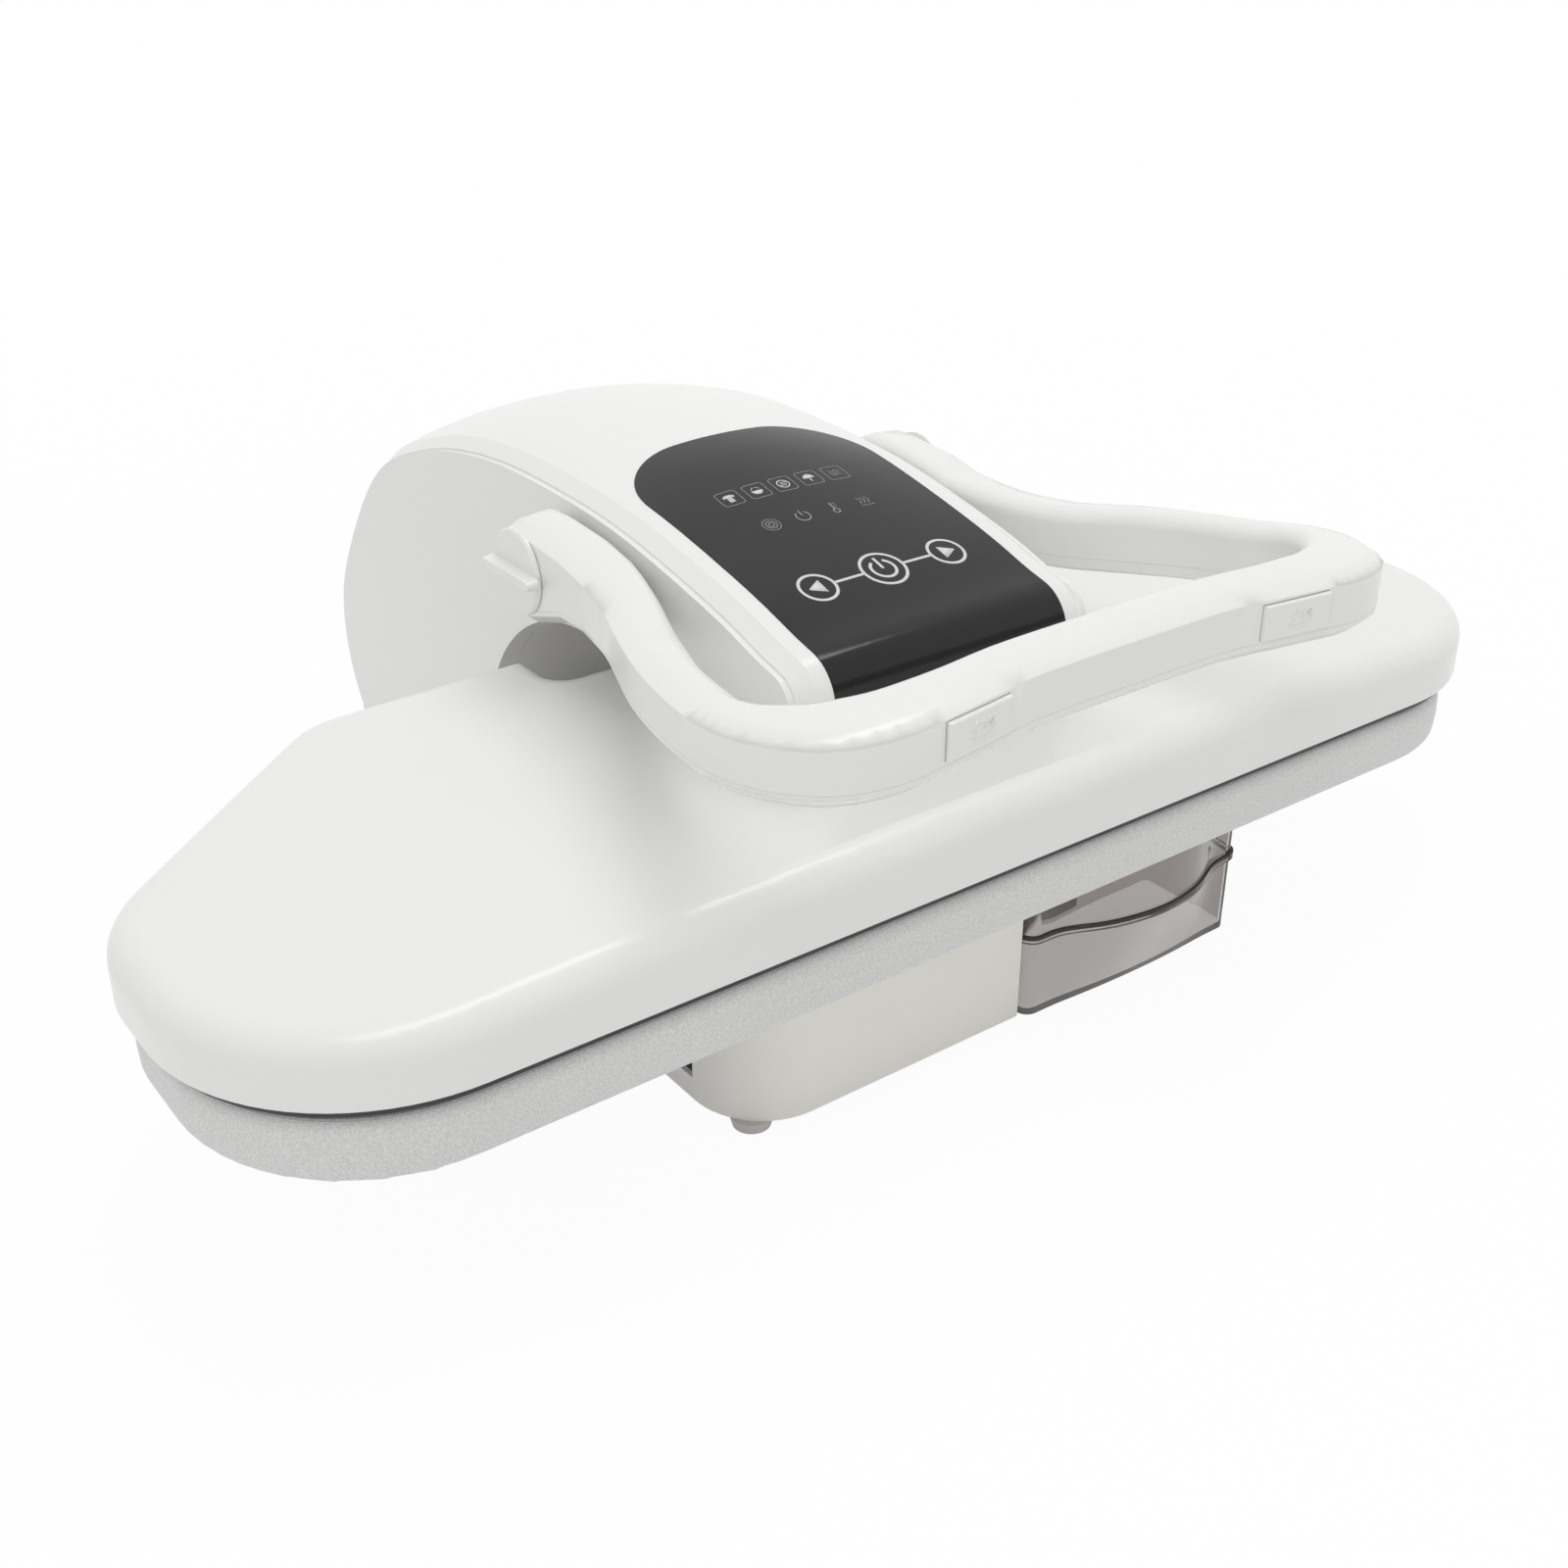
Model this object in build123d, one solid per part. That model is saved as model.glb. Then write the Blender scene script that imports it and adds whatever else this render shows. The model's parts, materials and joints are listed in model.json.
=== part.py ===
"""Steam ironing press: a table-top electronic press for garments.

+X is the machine's right, +Y its rear and +Z is up. The origin is on the table, under the middle
of the machine. All lengths are in millimetres. The head (drum, arm, shoe and handle) swings up
about a shaft low in the drum; the handle turns at the arm; the water tank slides out to the right.
"""

import os
from functools import cache
from math import atan2, cos, degrees, pi, sin

from build123d import *

os.makedirs("parts", exist_ok=True)

# Overall size
overall_length = 680.0
overall_depth = 558.0
overall_height = 241.0
reach = overall_depth / 2
half_length = overall_length / 2

# Walls, gaps and fits shared by all mouldings
wall = 3.0
thin_wall = 2.5
lid_gap = 0.3
seat_gap = 0.2
running_gap = 0.05
press_gap = 0.01
moving_gap = 1.5
overrun = 20.0
edge_round = 1.0

# Levels, from the table up
foot_height = 5.5
base_height = 86.0
pan_thickness = 4.0
pad_height = 19.5
cloth_thickness = 1.0
press_gap_height = 1.0
plate_thickness = 9.5
rim_lift = 4.5
shoe_wall_height = 34.0

pan_top = base_height + pan_thickness
pad_top = pan_top + pad_height
board_top = pad_top + cloth_thickness
plate_bottom = board_top + press_gap_height
plate_top = plate_bottom + plate_thickness
shoe_bottom = plate_bottom + rim_lift
shoe_top = shoe_bottom + shoe_wall_height

# Shoe cover: the long white wing over the heating plate
shoe_front_inset = 56.0
shoe_side_depth = 138.0
shoe_depth = 243.0
shoe_front = -reach + shoe_front_inset
shoe_side_corner_y = shoe_front + shoe_side_depth
shoe_rear = shoe_front + shoe_depth
shoe_rear_corner_x = 210.0
shoe_corner_radii = (88.0, 60.0, 40.0)
shoe_crown_radius = 8300.0
shoe_edge_radius = 13.0
notch_half_width = 98.0
notch_depth = 32.0
notch_radius = 8.0

# Heating plate and what lies on it
plate_inset = 3.5
steam_hole_radius = 1.6
steam_hole_rows = 3
steam_hole_columns = 15
steam_hole_pitch = 38.0
steam_row_pitch = 44.0
chamber_length = 320.0
chamber_width = 64.0
chamber_height = 6.0
chamber_y = -88.0
element_radius = 3.5
element_margin = 16.0
element_bend = 30.0
plate_post_radius = 4.0
plate_post_share = 0.33
thermostat_radius = 8.0
sensor_share = 0.33

# Padded board under the shoe
board_half_length = 331.0
board_shift = -4.0
board_front_inset = 1.5
board_rear_inset = 10.0
board_corner_radii = (80.0, 56.0, 36.0)
cloth_skirt_lift = 0.3
pan_inset = 1.6

# Head arm and drum
drum_rear_inset = 4.0
drum_rear = reach - drum_rear_inset
crown = 10.0
head_height = overall_height - crown
crease_half_width = 71.0
crease_drop = 5.0
seam_half_width = 78.0
cheek_inset = 1.0
tongue_front_inset = 108.0
tongue_front = -reach + tongue_front_inset
drum_bottom = 20.0
arch_radius = 103.5
arch_y = -8.0
arch_z = 60.0
tongue_bottom = arch_z + arch_radius
lip_depth = 8.0

crown_shares = (-1.0, -0.5, 0.0, 0.5, 1.0)

# Control panel let into the arm's top
panel_half_width = 62.8
panel_depth = 1.6
panel_proud = 0.4
panel_gap = 0.15
panel_rear = 2.0
panel_rear_radius = 40.0
panel_lift = 4.0
board_card_thickness = 1.6
control_card_half_width = 50.0
control_card_front = -152.0
control_card_depth = 46.0
control_card_lift = 27.0
card_post_radius = 3.0
card_post_inset = 6.0

# Shoe bracket, which carries the heating plate under the arm
bracket_y = -80.0
shoe_bracket_width = 56.0
shoe_bracket_depth = 42.0
shoe_bracket_wall = 2.5
shoe_flange_width = 90.0
shoe_flange_depth = 58.0
shoe_flange_thickness = 3.0
crossbar_depth = 46.0
crossbar_thickness = 4.0
crossbar_lift = 14.5
boss_margin = 16.0
boss_height = 10.0
bracket_clearance = 3.0

# Outline of the arm and drum at the crease, from the tongue's lower front corner, over the top
# and down the drum's back: places as shares of the drum's rear reach and of the head's height,
# and the crown there as a share of the full crown
head_outline_shares = (
    (-0.613, 0.712, 0.10),
    (-0.621, 0.770, 0.10),
    (-0.619, 0.812, 0.10),
    (-0.605, 0.844, 0.10),
    (-0.584, 0.865, 0.10),
    (-0.545, 0.879, 0.10),
    (-0.473, 0.904, 0.10),
    (-0.382, 0.932, 0.15),
    (-0.273, 0.959, 0.30),
    (-0.164, 0.981, 0.50),
    (-0.055, 0.994, 0.75),
    (0.055, 0.999, 0.92),
    (0.164, 1.000, 1.00),
    (0.273, 0.993, 1.00),
    (0.364, 0.979, 1.00),
    (0.455, 0.957, 1.00),
    (0.593, 0.905, 1.00),
    (0.700, 0.850, 1.00),
    (0.790, 0.765, 0.85),
    (0.872, 0.650, 0.70),
    (0.936, 0.540, 0.55),
    (0.986, 0.420, 0.45),
    (1.000, 0.303, 0.40),
    (0.984, 0.190, 0.40),
    (0.950, 0.104, 0.40),
)

# Levels of the handle, as shares of the overall height, and of the pivot below its arm's top
bar_top_share = 0.980
arm_top_share = 0.906
pivot_drop = 16.35
pivot_z = arm_top_share * overall_height - pivot_drop

# Hinge of the head
hinge_y = 217.0
hinge_z = 45.0
shaft_radius = 6.0
shaft_half_length = 74.5
frame_plate_x = 64.0
frame_plate_thickness = 3.0
frame_arm_width = 18.0
frame_end_radius = 16.0
bush_wall = 3.0
bush_length = 8.0
clip_thickness = 1.6
frame_front_y = -92.0
frame_front_drop = 21.0
frame_front_z = pivot_z - frame_front_drop
frame_front_width = 20.0
bracket_x = 49.0
bracket_thickness = 3.0
bracket_foot = 10.0
bracket_depth = 22.0
bracket_ring_wall = 7.0
spring_wire = 3.0
spring_turns = 7
spring_pitch = 3.6
union_half_length = 12.0
union_radius = 11.0
hose_radius = 4.0
hose_bore = 2.5
hose_bend = 12.0
side_hose_end = 34.0
tail_hose_start = 46.0
head_hose_rise_drop = 100.0
head_hose_shoulder_drop = 55.0
head_hose_roof_drop = 25.0
head_hose_shoulder_y = 104.0
head_hose_rise = head_height - head_hose_rise_drop
head_hose_shoulder = (head_hose_shoulder_y, head_height - head_hose_shoulder_drop)
head_hose_roof = head_height - head_hose_roof_drop

# Handle
handle_rear_y = -9.5
arm_side_gap = 4.5
arm_inner_x = seam_half_width + wall + arm_side_gap
arm_width = 27.5
bar_height = 29.0
seam_height = 6.0
shell_seam_gap = 0.1
facet_width = 6.0
inner_round = 7.0
inner_round_steps = 4
facet_drop = 1.5
facet_height = 4.0
handle_edge = 1.5
belly_edge = 4.0
core_width = 6.0
core_height = 10.0
core_gap = 1.3
axle_length = 38.0
pivot_bush_length = 11.5
pivot_bush_radius = 9.0

# Places along the right half of the handle, from the middle of the bar to the straight arm:
# X as a share of the handle's half width, Y of the overall reach, the width of the arm's width,
# the top of the overall height and the thickness of the bar's
handle_half_width = 159.0
handle_station_shares = (
    (0.000, -0.9200, 0.910, bar_top_share, 1.00),
    (0.179, -0.9200, 0.910, bar_top_share, 1.00),
    (0.340, -0.9230, 0.920, bar_top_share, 1.00),
    (0.484, -0.9335, 0.960, 0.979, 1.00),
    (0.616, -0.9395, 1.040, 0.977, 1.00),
    (0.723, -0.9380, 1.160, 0.973, 0.99),
    (0.840, -0.9120, 1.200, 0.967, 0.97),
    (0.921, -0.8460, 0.945, 0.957, 0.96),
    (0.936, -0.7810, 0.790, 0.946, 0.95),
    (0.909, -0.7100, 0.780, 0.933, 0.96),
    (0.868, -0.6160, 0.785, 0.922, 0.98),
    (0.808, -0.5200, 0.836, 0.910, 1.00),
    (0.733, -0.4190, 0.855, 0.894, 0.98),
    (0.667, -0.3225, 0.890, 0.894, 0.99),
    (0.624, -0.2220, 1.000, arm_top_share, 1.07),
)
slices_per_station = 3
# Slices of the arm's straight end: Y from the pivot, top and bottom, as shares of its end radius
arm_end_radius = 24.0
arm_end_shares = (
    (-1.40, 0.84, -0.60),
    (-0.30, 0.92, -0.96),
    (0.30, 0.92, -0.98),
    (0.66, 0.76, -0.80),
    (0.96, 0.36, -0.46),
)

# Lock knob at each pivot
knob_radius = 19.5
knob_thickness = 2.0
knob_fin_length = 43.0
knob_fin_thickness = 6.0
knob_fin_height = 5.5
knob_fin_taper = 10.0
knob_stem_radius = 8.0
knob_stem_length = 13.0

# Steam buttons
button_inner_x = 65.8
button_width = 32.4
button_height = 14.4
button_front_inset = 5.0
button_z = bar_top_share * overall_height - bar_height / 2
button_front = -reach + button_front_inset
button_slope_run = 4.5
button_depth = 8.0
button_travel = 2.0
button_gap = 0.4
button_round = 0.8
switch_length = 12.0
switch_height = 7.0
switch_depth = 6.1

# Base
base_half_width = 122.0
base_front_inset = 91.0
base_front = -reach + base_front_inset
base_rear = 70.0
base_corner_radius = 36.0
base_front_right = 32.4
tank_bay_rear = -133.0
tongue_half_width = 60.0
tail_overhang = 4.0
tail_rear = hinge_y + tail_overhang
tail_height = 24.0
foot_radius = 10.0
foot_taper = 1.5
foot_inset = 15.0
pocket_front = -153.0
pocket_length = 134.0
pocket_depth = 44.0
pocket_bottom = 14.0
pocket_height = 64.0

# Water tank
tank_side_gap = 0.8
tank_rear_gap = 2.0
tank_front_inset = 72.0
tank_left = base_front_right + tank_side_gap
tank_length = 139.0
tank_front = -reach + tank_front_inset
tank_rear = tank_bay_rear - tank_rear_gap
tank_bottom = 5.0
tank_split = 46.0
tank_height = 71.0
tank_wall = 2.4
tank_flange = 1.6
flange_height = 3.6
runner_stem_width = 14.0
runner_head_width = 24.0
runner_stem_height = 3.2
runner_head_height = 2.6
rail_gap = 0.5
tank_cap_radius = 13.0
tank_wave = 14.5
tank_low_wave_share = 0.15
tank_corner_radius = 8.0
tank_cap_proud = 3.0
valve_radius = 5.0
valve_length = 11.0
valve_z = 20.0
socket_wall = 3.0
socket_length = 14.0
wave_shares = (
    (0.05, 0.00),
    (0.13, 0.04),
    (0.26, 0.52),
    (0.38, 0.86),
    (0.50, 1.00),
    (0.62, 0.93),
    (0.74, 0.62),
    (0.87, 0.10),
    (0.95, 0.00),
)

# Pump, cards, hoses and cable entry in the base
pump_radius = 14.0
pump_length = 42.0
pump_x = 42.0
pump_y = -80.0
pump_mount_height = 6.0
pump_mount_length = 30.0
cradle_share = 0.8
power_card_left = -74.0
power_card_length = 58.0
power_card_front = -108.0
power_card_depth = 84.0
power_card_lift = 11.0
transformer_size = 28.0
capacitor_radius = 6.0
capacitor_pitch = 18.0
capacitor_count = 3
capacitor_height = 16.0
relay_size = 12.0
frame_sheet_front = -8.0
frame_sheet_thickness = 3.0
gland_radius = 7.0
gland_bore = 3.6
gland_length = 16.0
gland_x = 95.0
gland_z = 24.0
screw_head_radius = 3.2
screw_head_height = 1.2
screw_shank_radius = 1.5
screw_inset = 30.0


def block(x_range, y_range, z_range):
    """A box between two planes along each axis."""
    sides = [high - low for low, high in (x_range, y_range, z_range)]
    corner = [low for low, high in (x_range, y_range, z_range)]
    return Pos(*corner) * Box(*sides, align=(Align.MIN, Align.MIN, Align.MIN))


def slab(outline, bottom, top):
    """A flat outline in plan, made a solid between two levels."""
    return Pos(0, 0, bottom) * extrude(make_face(outline), amount=top - bottom)


def side_slab(face, inner_x, outer_x):
    """A face drawn in Y and Z, made a solid between two places along X."""
    return extrude(Plane.YZ.offset(inner_x) * face, amount=outer_x - inner_x)


def rod(radius, start, end):
    """A round bar between two points."""
    axis = Vector(*end) - Vector(*start)
    place = Plane(origin=start, z_dir=axis)
    return place * Cylinder(radius, axis.length, align=(Align.CENTER, Align.CENTER, Align.MIN))


def tube(outer_radius, inner_radius, start, end):
    """A round bar with a bore right through it."""
    return rod(outer_radius, start, end) - rod(inner_radius, start, end)


def both_sides(right_part):
    """The right-hand piece and its mirror image on the left."""
    return right_part, mirror(right_part, about=Plane.YZ)


def save(name, shape):
    """Write one sub-part's solids under its name."""
    solids = shape.solids()
    kept = solids[0] if len(solids) == 1 else Compound(children=list(solids))
    export_step(kept, f"parts/{name}.step")


def wing_outline(half, front, side_corner, rear_corner, rear, radii):
    """Plan of the wing shape shared by the shoe, the plate, the pad and the pan."""
    front_radius, side_radius, rear_radius = radii
    right = [(half, front), (half, side_corner), (rear_corner, rear)]
    left = [(-x, y) for x, y in reversed(right)]
    corner_radii = [front_radius, side_radius, rear_radius, rear_radius, side_radius, front_radius]
    return FilletPolyline(*right, *left, radius=corner_radii, close=True)


def shoe_plan(inset):
    """Plan of the shoe, drawn in by a distance all round."""
    radii = [radius - inset for radius in shoe_corner_radii]
    return wing_outline(half_length - inset, shoe_front + inset, shoe_side_corner_y,
                        shoe_rear_corner_x - inset, shoe_rear - inset, radii)


def board_plan(inset):
    """Plan of the padded board, drawn in by a distance all round."""
    radii = [radius - inset for radius in board_corner_radii]
    side_inset = half_length - board_half_length
    outline = wing_outline(board_half_length - inset, shoe_front + board_front_inset + inset,
                           shoe_side_corner_y, shoe_rear_corner_x - side_inset - inset,
                           shoe_rear - board_rear_inset - inset, radii)
    return Pos(board_shift, 0) * outline


def head_outline(grow, rise):
    """Points of the head's outline, moved outwards square to it by a distance and by the crown's rise."""
    points = [(y * drum_rear, z * head_height) for y, z, crown_share in head_outline_shares]
    moved = []
    for index, (y, z) in enumerate(points):
        before = points[max(index - 1, 0)]
        after = points[min(index + 1, len(points) - 1)]
        run = Vector(after[0] - before[0], after[1] - before[1]).normalized()
        out = grow + rise * head_outline_shares[index][-1]
        moved.append((y - run.Y * out, z + run.X * out))
    return moved


def head_section(grow, open_below, rise=0):
    """One slice of the head, closed by a chord or left open far below the drum."""
    points = head_outline(grow, rise)
    top = Spline(*points)
    first, last = points[0], points[-1]
    if open_below:
        low = -head_height
        sides = Polyline(last, (last[0], low), (first[0], low), first)
    else:
        sides = Line(last, first)
    return make_face([*top.edges(), *sides.edges()])


@cache
def head_body(grow, half_width, open_below=False):
    """The crowned body of the head between its creases, with a chamfer beyond them."""
    slices = []
    for share in crown_shares:
        rise = crown * (1 - share * share)
        place = Plane.YZ.offset(share * crease_half_width)
        slices.append(place * head_section(grow, open_below, rise))
    body = loft(slices)
    flank_share = (half_width - crease_half_width) / (seam_half_width - crease_half_width)
    inner = Plane.YZ.offset(crease_half_width) * head_section(grow, open_below)
    outer = Plane.YZ.offset(half_width) * head_section(grow - crease_drop * flank_share, open_below)
    flank = loft([inner, outer], ruled=True)
    return body + flank + mirror(flank, about=Plane.YZ)


def underside(lift):
    """What lies above the head's lower edge, the edge raised or drawn in by a distance."""
    arch = arch_radius + lift
    front = tongue_front - overrun
    rear = drum_rear + overrun
    roof = head_height + overrun
    arch_end = arch_y + arch
    tongue = Pos(front, tongue_bottom + lift) * Rectangle(
        arch_y - front, roof - tongue_bottom - lift, align=(Align.MIN, Align.MIN))
    drum = Pos(arch_y, drum_bottom + lift) * Rectangle(
        rear - arch_y, roof - drum_bottom - lift, align=(Align.MIN, Align.MIN))
    hollow = Pos(arch_y, arch_z) * Circle(arch)
    below = Pos(arch_y - arch, 0) * Rectangle(arch_end - arch_y + arch, arch_z,
                                           align=(Align.MIN, Align.MIN))
    return tongue + drum - hollow - below


def make_top_cover():
    """Crowned top of the arm and drum, recessed for the control panel."""
    cover = head_body(0, seam_half_width) - head_body(-wall, seam_half_width, True)
    return cover - (panel_prism(panel_gap) - head_body(-panel_depth, seam_half_width, True))


def panel_prism(gap):
    """Upright column over the control panel's plan, wider by a gap all round."""
    half = panel_half_width + gap
    front = tongue_front - overrun
    rear = panel_rear + gap
    radius = panel_rear_radius + gap
    outline = FilletPolyline((-half, front), (half, front), (half, rear), (-half, rear),
                             radius=[0, 0, radius, radius], close=True)
    return slab(outline, tongue_bottom + panel_lift - gap, head_height + overrun)


def make_control_panel():
    """Black glass that rolls over the arm's front."""
    glass = head_body(panel_proud, seam_half_width) & panel_prism(0)
    return glass - head_body(-panel_depth, seam_half_width, True)


def make_cheek():
    """Right side of the drum and arm, with the lip turned in along its lower edge."""
    inside = head_section(-crease_drop - wall - lid_gap, True)
    flat = head_section(-crease_drop - cheek_inset, True) & underside(0)
    lip = (underside(0) - underside(thin_wall)) & inside
    cheek = side_slab(flat, seam_half_width, seam_half_width + wall)
    cheek += side_slab(lip, seam_half_width - lip_depth, seam_half_width)
    axle = axle_line(seam_half_width - overrun, seam_half_width + overrun)
    return cheek - rod(shaft_radius + lid_gap, *axle)


def make_arm_bottom_cover():
    """Underside of the arm and lining of the arch, with the way through for the shoe bracket."""
    half = seam_half_width - lip_depth - seat_gap
    sheet = (underside(0) - underside(thin_wall)) & head_section(-wall - lid_gap, True)
    cover = side_slab(sheet, -half, half)
    behind = arch_y + arch_radius + thin_wall
    tail_top = foot_height + tail_height + overrun
    cover -= block((-reach, reach), (behind, reach), (0, arch_z))
    cover -= block((-reach, reach), (0, reach), (0, tail_top))
    cover -= shoe_bracket_way(tongue_bottom)
    for x, y in card_posts():
        foot = (x, y, tongue_bottom + thin_wall)
        cover += rod(card_post_radius, foot, (x, y, tongue_bottom + control_card_lift))
    return cover


def card_posts():
    """Places of the posts under the control card."""
    half = control_card_half_width - card_post_inset
    front = control_card_front + card_post_inset
    rear = control_card_front + control_card_depth - card_post_inset
    return [(x, y) for x in (-half, half) for y in (front, rear)]


def make_control_board():
    """Card of the touch panel, with its processor and buzzer."""
    bottom = tongue_bottom + control_card_lift
    top = bottom + board_card_thickness
    rear = control_card_front + control_card_depth
    middle = (control_card_front + rear) / 2
    half = control_card_half_width
    card = block((-half, half), (control_card_front, rear), (bottom, top))
    chip = block((-relay_size, 0), (middle - relay_size / 2, middle), (top, top + board_card_thickness))
    buzzer_x = 2 * relay_size
    buzzer = rod(relay_size / 2, (buzzer_x, middle, top), (buzzer_x, middle, top + relay_size / 2))
    return card + chip + buzzer


def axle_line(inner_x, outer_x):
    """The handle's pivot line between two places on the right."""
    return (inner_x, handle_rear_y, pivot_z), (outer_x, handle_rear_y, pivot_z)


def link_face(start, end, width):
    """Straight link with round ends, drawn in Y and Z."""
    run = Vector(end[0] - start[0], end[1] - start[1])
    angle = degrees(atan2(run.Y, run.X))
    middle = ((start[0] + end[0]) / 2, (start[1] + end[1]) / 2)
    bar = Pos(*middle) * Rot(0, 0, angle) * Rectangle(run.length, width)
    return bar + Pos(*start) * Circle(width / 2) + Pos(*end) * Circle(width / 2)


def make_frame_plate():
    """Right side plate of the head frame, from the hinge to the handle's pivot and the crossbar."""
    hinge = (hinge_y, hinge_z)
    pivot = (handle_rear_y, pivot_z)
    front = (frame_front_y, frame_front_z)
    face = link_face(hinge, pivot, frame_arm_width) + link_face(pivot, front, frame_front_width)
    face += Pos(*hinge) * Circle(frame_end_radius)
    face += Pos(*pivot) * Circle(frame_end_radius)
    face -= Pos(*hinge) * Circle(shaft_radius + bush_wall)
    face -= Pos(*pivot) * Circle(shaft_radius + press_gap)
    return side_slab(face, frame_plate_x, frame_plate_x + frame_plate_thickness)


def make_frame_crossbar():
    """Bar between the side plates that carries the shoe bracket."""
    bottom = tongue_bottom + crossbar_lift
    half_depth = crossbar_depth / 2
    bar = block((-frame_plate_x, frame_plate_x), (bracket_y - half_depth, bracket_y + half_depth),
                (bottom, bottom + crossbar_thickness))
    hole = rod(hose_radius + moving_gap, (0, bracket_y, bottom - overrun), (0, bracket_y, bottom + overrun))
    return bar - hole


def make_hinge_bush():
    """Nylon bush pressed into the right side plate, running on the shaft."""
    middle = frame_plate_x + frame_plate_thickness / 2
    start = (middle - bush_length / 2, hinge_y, hinge_z)
    end = (middle + bush_length / 2, hinge_y, hinge_z)
    return tube(shaft_radius + bush_wall - press_gap, shaft_radius + running_gap, start, end)


def make_handle_axle():
    """Right stub axle of the handle, with its head inside the frame plate."""
    head = rod(pivot_bush_radius, *axle_line(frame_plate_x - wall, frame_plate_x))
    return head + rod(shaft_radius, *axle_line(frame_plate_x, frame_plate_x - wall + axle_length))


def shoe_bracket_way(bottom):
    """Clear way for the shoe bracket, up from a level."""
    half_width = shoe_bracket_width / 2 + bracket_clearance
    half_depth = shoe_bracket_depth / 2 + bracket_clearance
    return block((-half_width, half_width), (bracket_y - half_depth, bracket_y + half_depth),
                 (bottom - overrun, bottom + overrun))


def make_shoe_bracket():
    """Box-section post from the crossbar down to its flange on the steam chamber."""
    half_width = shoe_bracket_width / 2
    half_depth = shoe_bracket_depth / 2
    low = plate_top + chamber_height
    high = tongue_bottom + crossbar_lift
    flange_width = shoe_flange_width / 2
    flange_depth = shoe_flange_depth / 2
    post = block((-half_width, half_width), (bracket_y - half_depth, bracket_y + half_depth), (low, high))
    post += block((-flange_width, flange_width), (bracket_y - flange_depth, bracket_y + flange_depth),
                  (low, low + shoe_flange_thickness))
    inner_width = half_width - shoe_bracket_wall
    inner_depth = half_depth - shoe_bracket_wall
    return post - block((-inner_width, inner_width), (bracket_y - inner_depth, bracket_y + inner_depth),
                        (low - overrun, high + overrun))


def notch_cut(gap, top):
    """The notch in the middle of the shoe's rear edge, wider by a gap."""
    half = notch_half_width + gap
    front = shoe_rear - notch_depth - gap
    rear = shoe_rear + overrun
    outline = FilletPolyline((-half, front), (half, front), (half, rear), (-half, rear),
                             radius=[notch_radius, notch_radius, 0, 0], close=True)
    return slab(outline, 0, top)


def crowned_shoe(inset, top):
    """The wing's block under its gently domed top."""
    middle = (shoe_front + shoe_rear) / 2
    block_part = slab(shoe_plan(inset), shoe_bottom, top)
    dome = Pos(0, middle, top - shoe_crown_radius) * Sphere(shoe_crown_radius)
    crowned = (block_part & dome) - notch_cut(inset, top + overrun)
    top_face = crowned.faces().sort_by(Axis.Z)[-1]
    return fillet(top_face.edges(), shoe_edge_radius - inset)


def shoe_boss(inset):
    """Raised neck on the wing round the shoe bracket."""
    half_width = shoe_bracket_width / 2 + boss_margin - inset
    half_depth = shoe_bracket_depth / 2 + boss_margin - inset
    outline = FilletPolyline((-half_width, bracket_y - half_depth), (half_width, bracket_y - half_depth),
                             (half_width, bracket_y + half_depth), (-half_width, bracket_y + half_depth),
                             radius=boss_margin - inset, close=True)
    return slab(outline, shoe_bottom, shoe_top + boss_height - inset)


def make_shoe_cover():
    """The white wing: a hollow moulding over the heating plate, with posts down to it."""
    outside = crowned_shoe(0, shoe_top) + shoe_boss(0)
    inside = crowned_shoe(wall, shoe_top - wall) + shoe_boss(wall)
    cover = outside - inside
    for x, y in plate_posts():
        cover += rod(plate_post_radius, (x, y, plate_top), (x, y, shoe_top - wall - edge_round)) & outside
    return cover - shoe_bracket_way(shoe_top + boss_height)


def plate_posts():
    """Places of the posts between the wing's roof and the heating plate."""
    front = shoe_front + element_bend
    middle = shoe_front + shoe_corner_radii[0]
    rear = shoe_side_corner_y + element_bend
    near = half_length * plate_post_share
    far = half_length - shoe_corner_radii[0]
    places = [(near, front), (far, middle), (far - element_margin, rear)]
    return [(side * x, y) for x, y in places for side in (-1, 1)]


def make_heating_plate():
    """Aluminium sole plate with its rows of steam holes."""
    plate = slab(shoe_plan(plate_inset), plate_bottom, plate_top) - notch_cut(plate_inset, shoe_top)
    holes = GridLocations(steam_hole_pitch, steam_row_pitch, steam_hole_columns, steam_hole_rows)
    depth = 2 * plate_thickness
    drill = Pos(0, chamber_y, plate_bottom) * holes * Cylinder(steam_hole_radius, depth)
    return plate - drill


def make_steam_chamber_lid():
    """Lid of the steam chamber on top of the plate."""
    half_length_x = chamber_length / 2
    half_width = chamber_width / 2
    return block((-half_length_x, half_length_x), (chamber_y - half_width, chamber_y + half_width),
                 (plate_top, plate_top + chamber_height))


def make_heating_element():
    """Tubular element bent round the steam chamber, lying on the plate."""
    x = chamber_length / 2 + element_margin
    half_depth = chamber_width / 2 + element_margin
    z = plate_top + element_radius
    front = chamber_y - half_depth
    rear = chamber_y + half_depth
    end = -chamber_length / 2
    path = FilletPolyline((end, front, z), (x, front, z), (x, rear, z), (end, rear, z), radius=element_bend)
    ring = Plane(origin=path @ 0, z_dir=path % 0) * Circle(element_radius)
    return sweep(ring, path=path)


def make_thermostat():
    """Disc thermostat with two tabs, on the steam chamber."""
    x = chamber_length * sensor_share
    z = plate_top + chamber_height
    body = rod(thermostat_radius, (x, chamber_y, z), (x, chamber_y, z + relay_size / 2))
    tab = block((x - relay_size, x + relay_size), (chamber_y - clip_thickness, chamber_y + clip_thickness),
                (z + relay_size / 2, z + relay_size / 2 + clip_thickness))
    return body + tab


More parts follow.
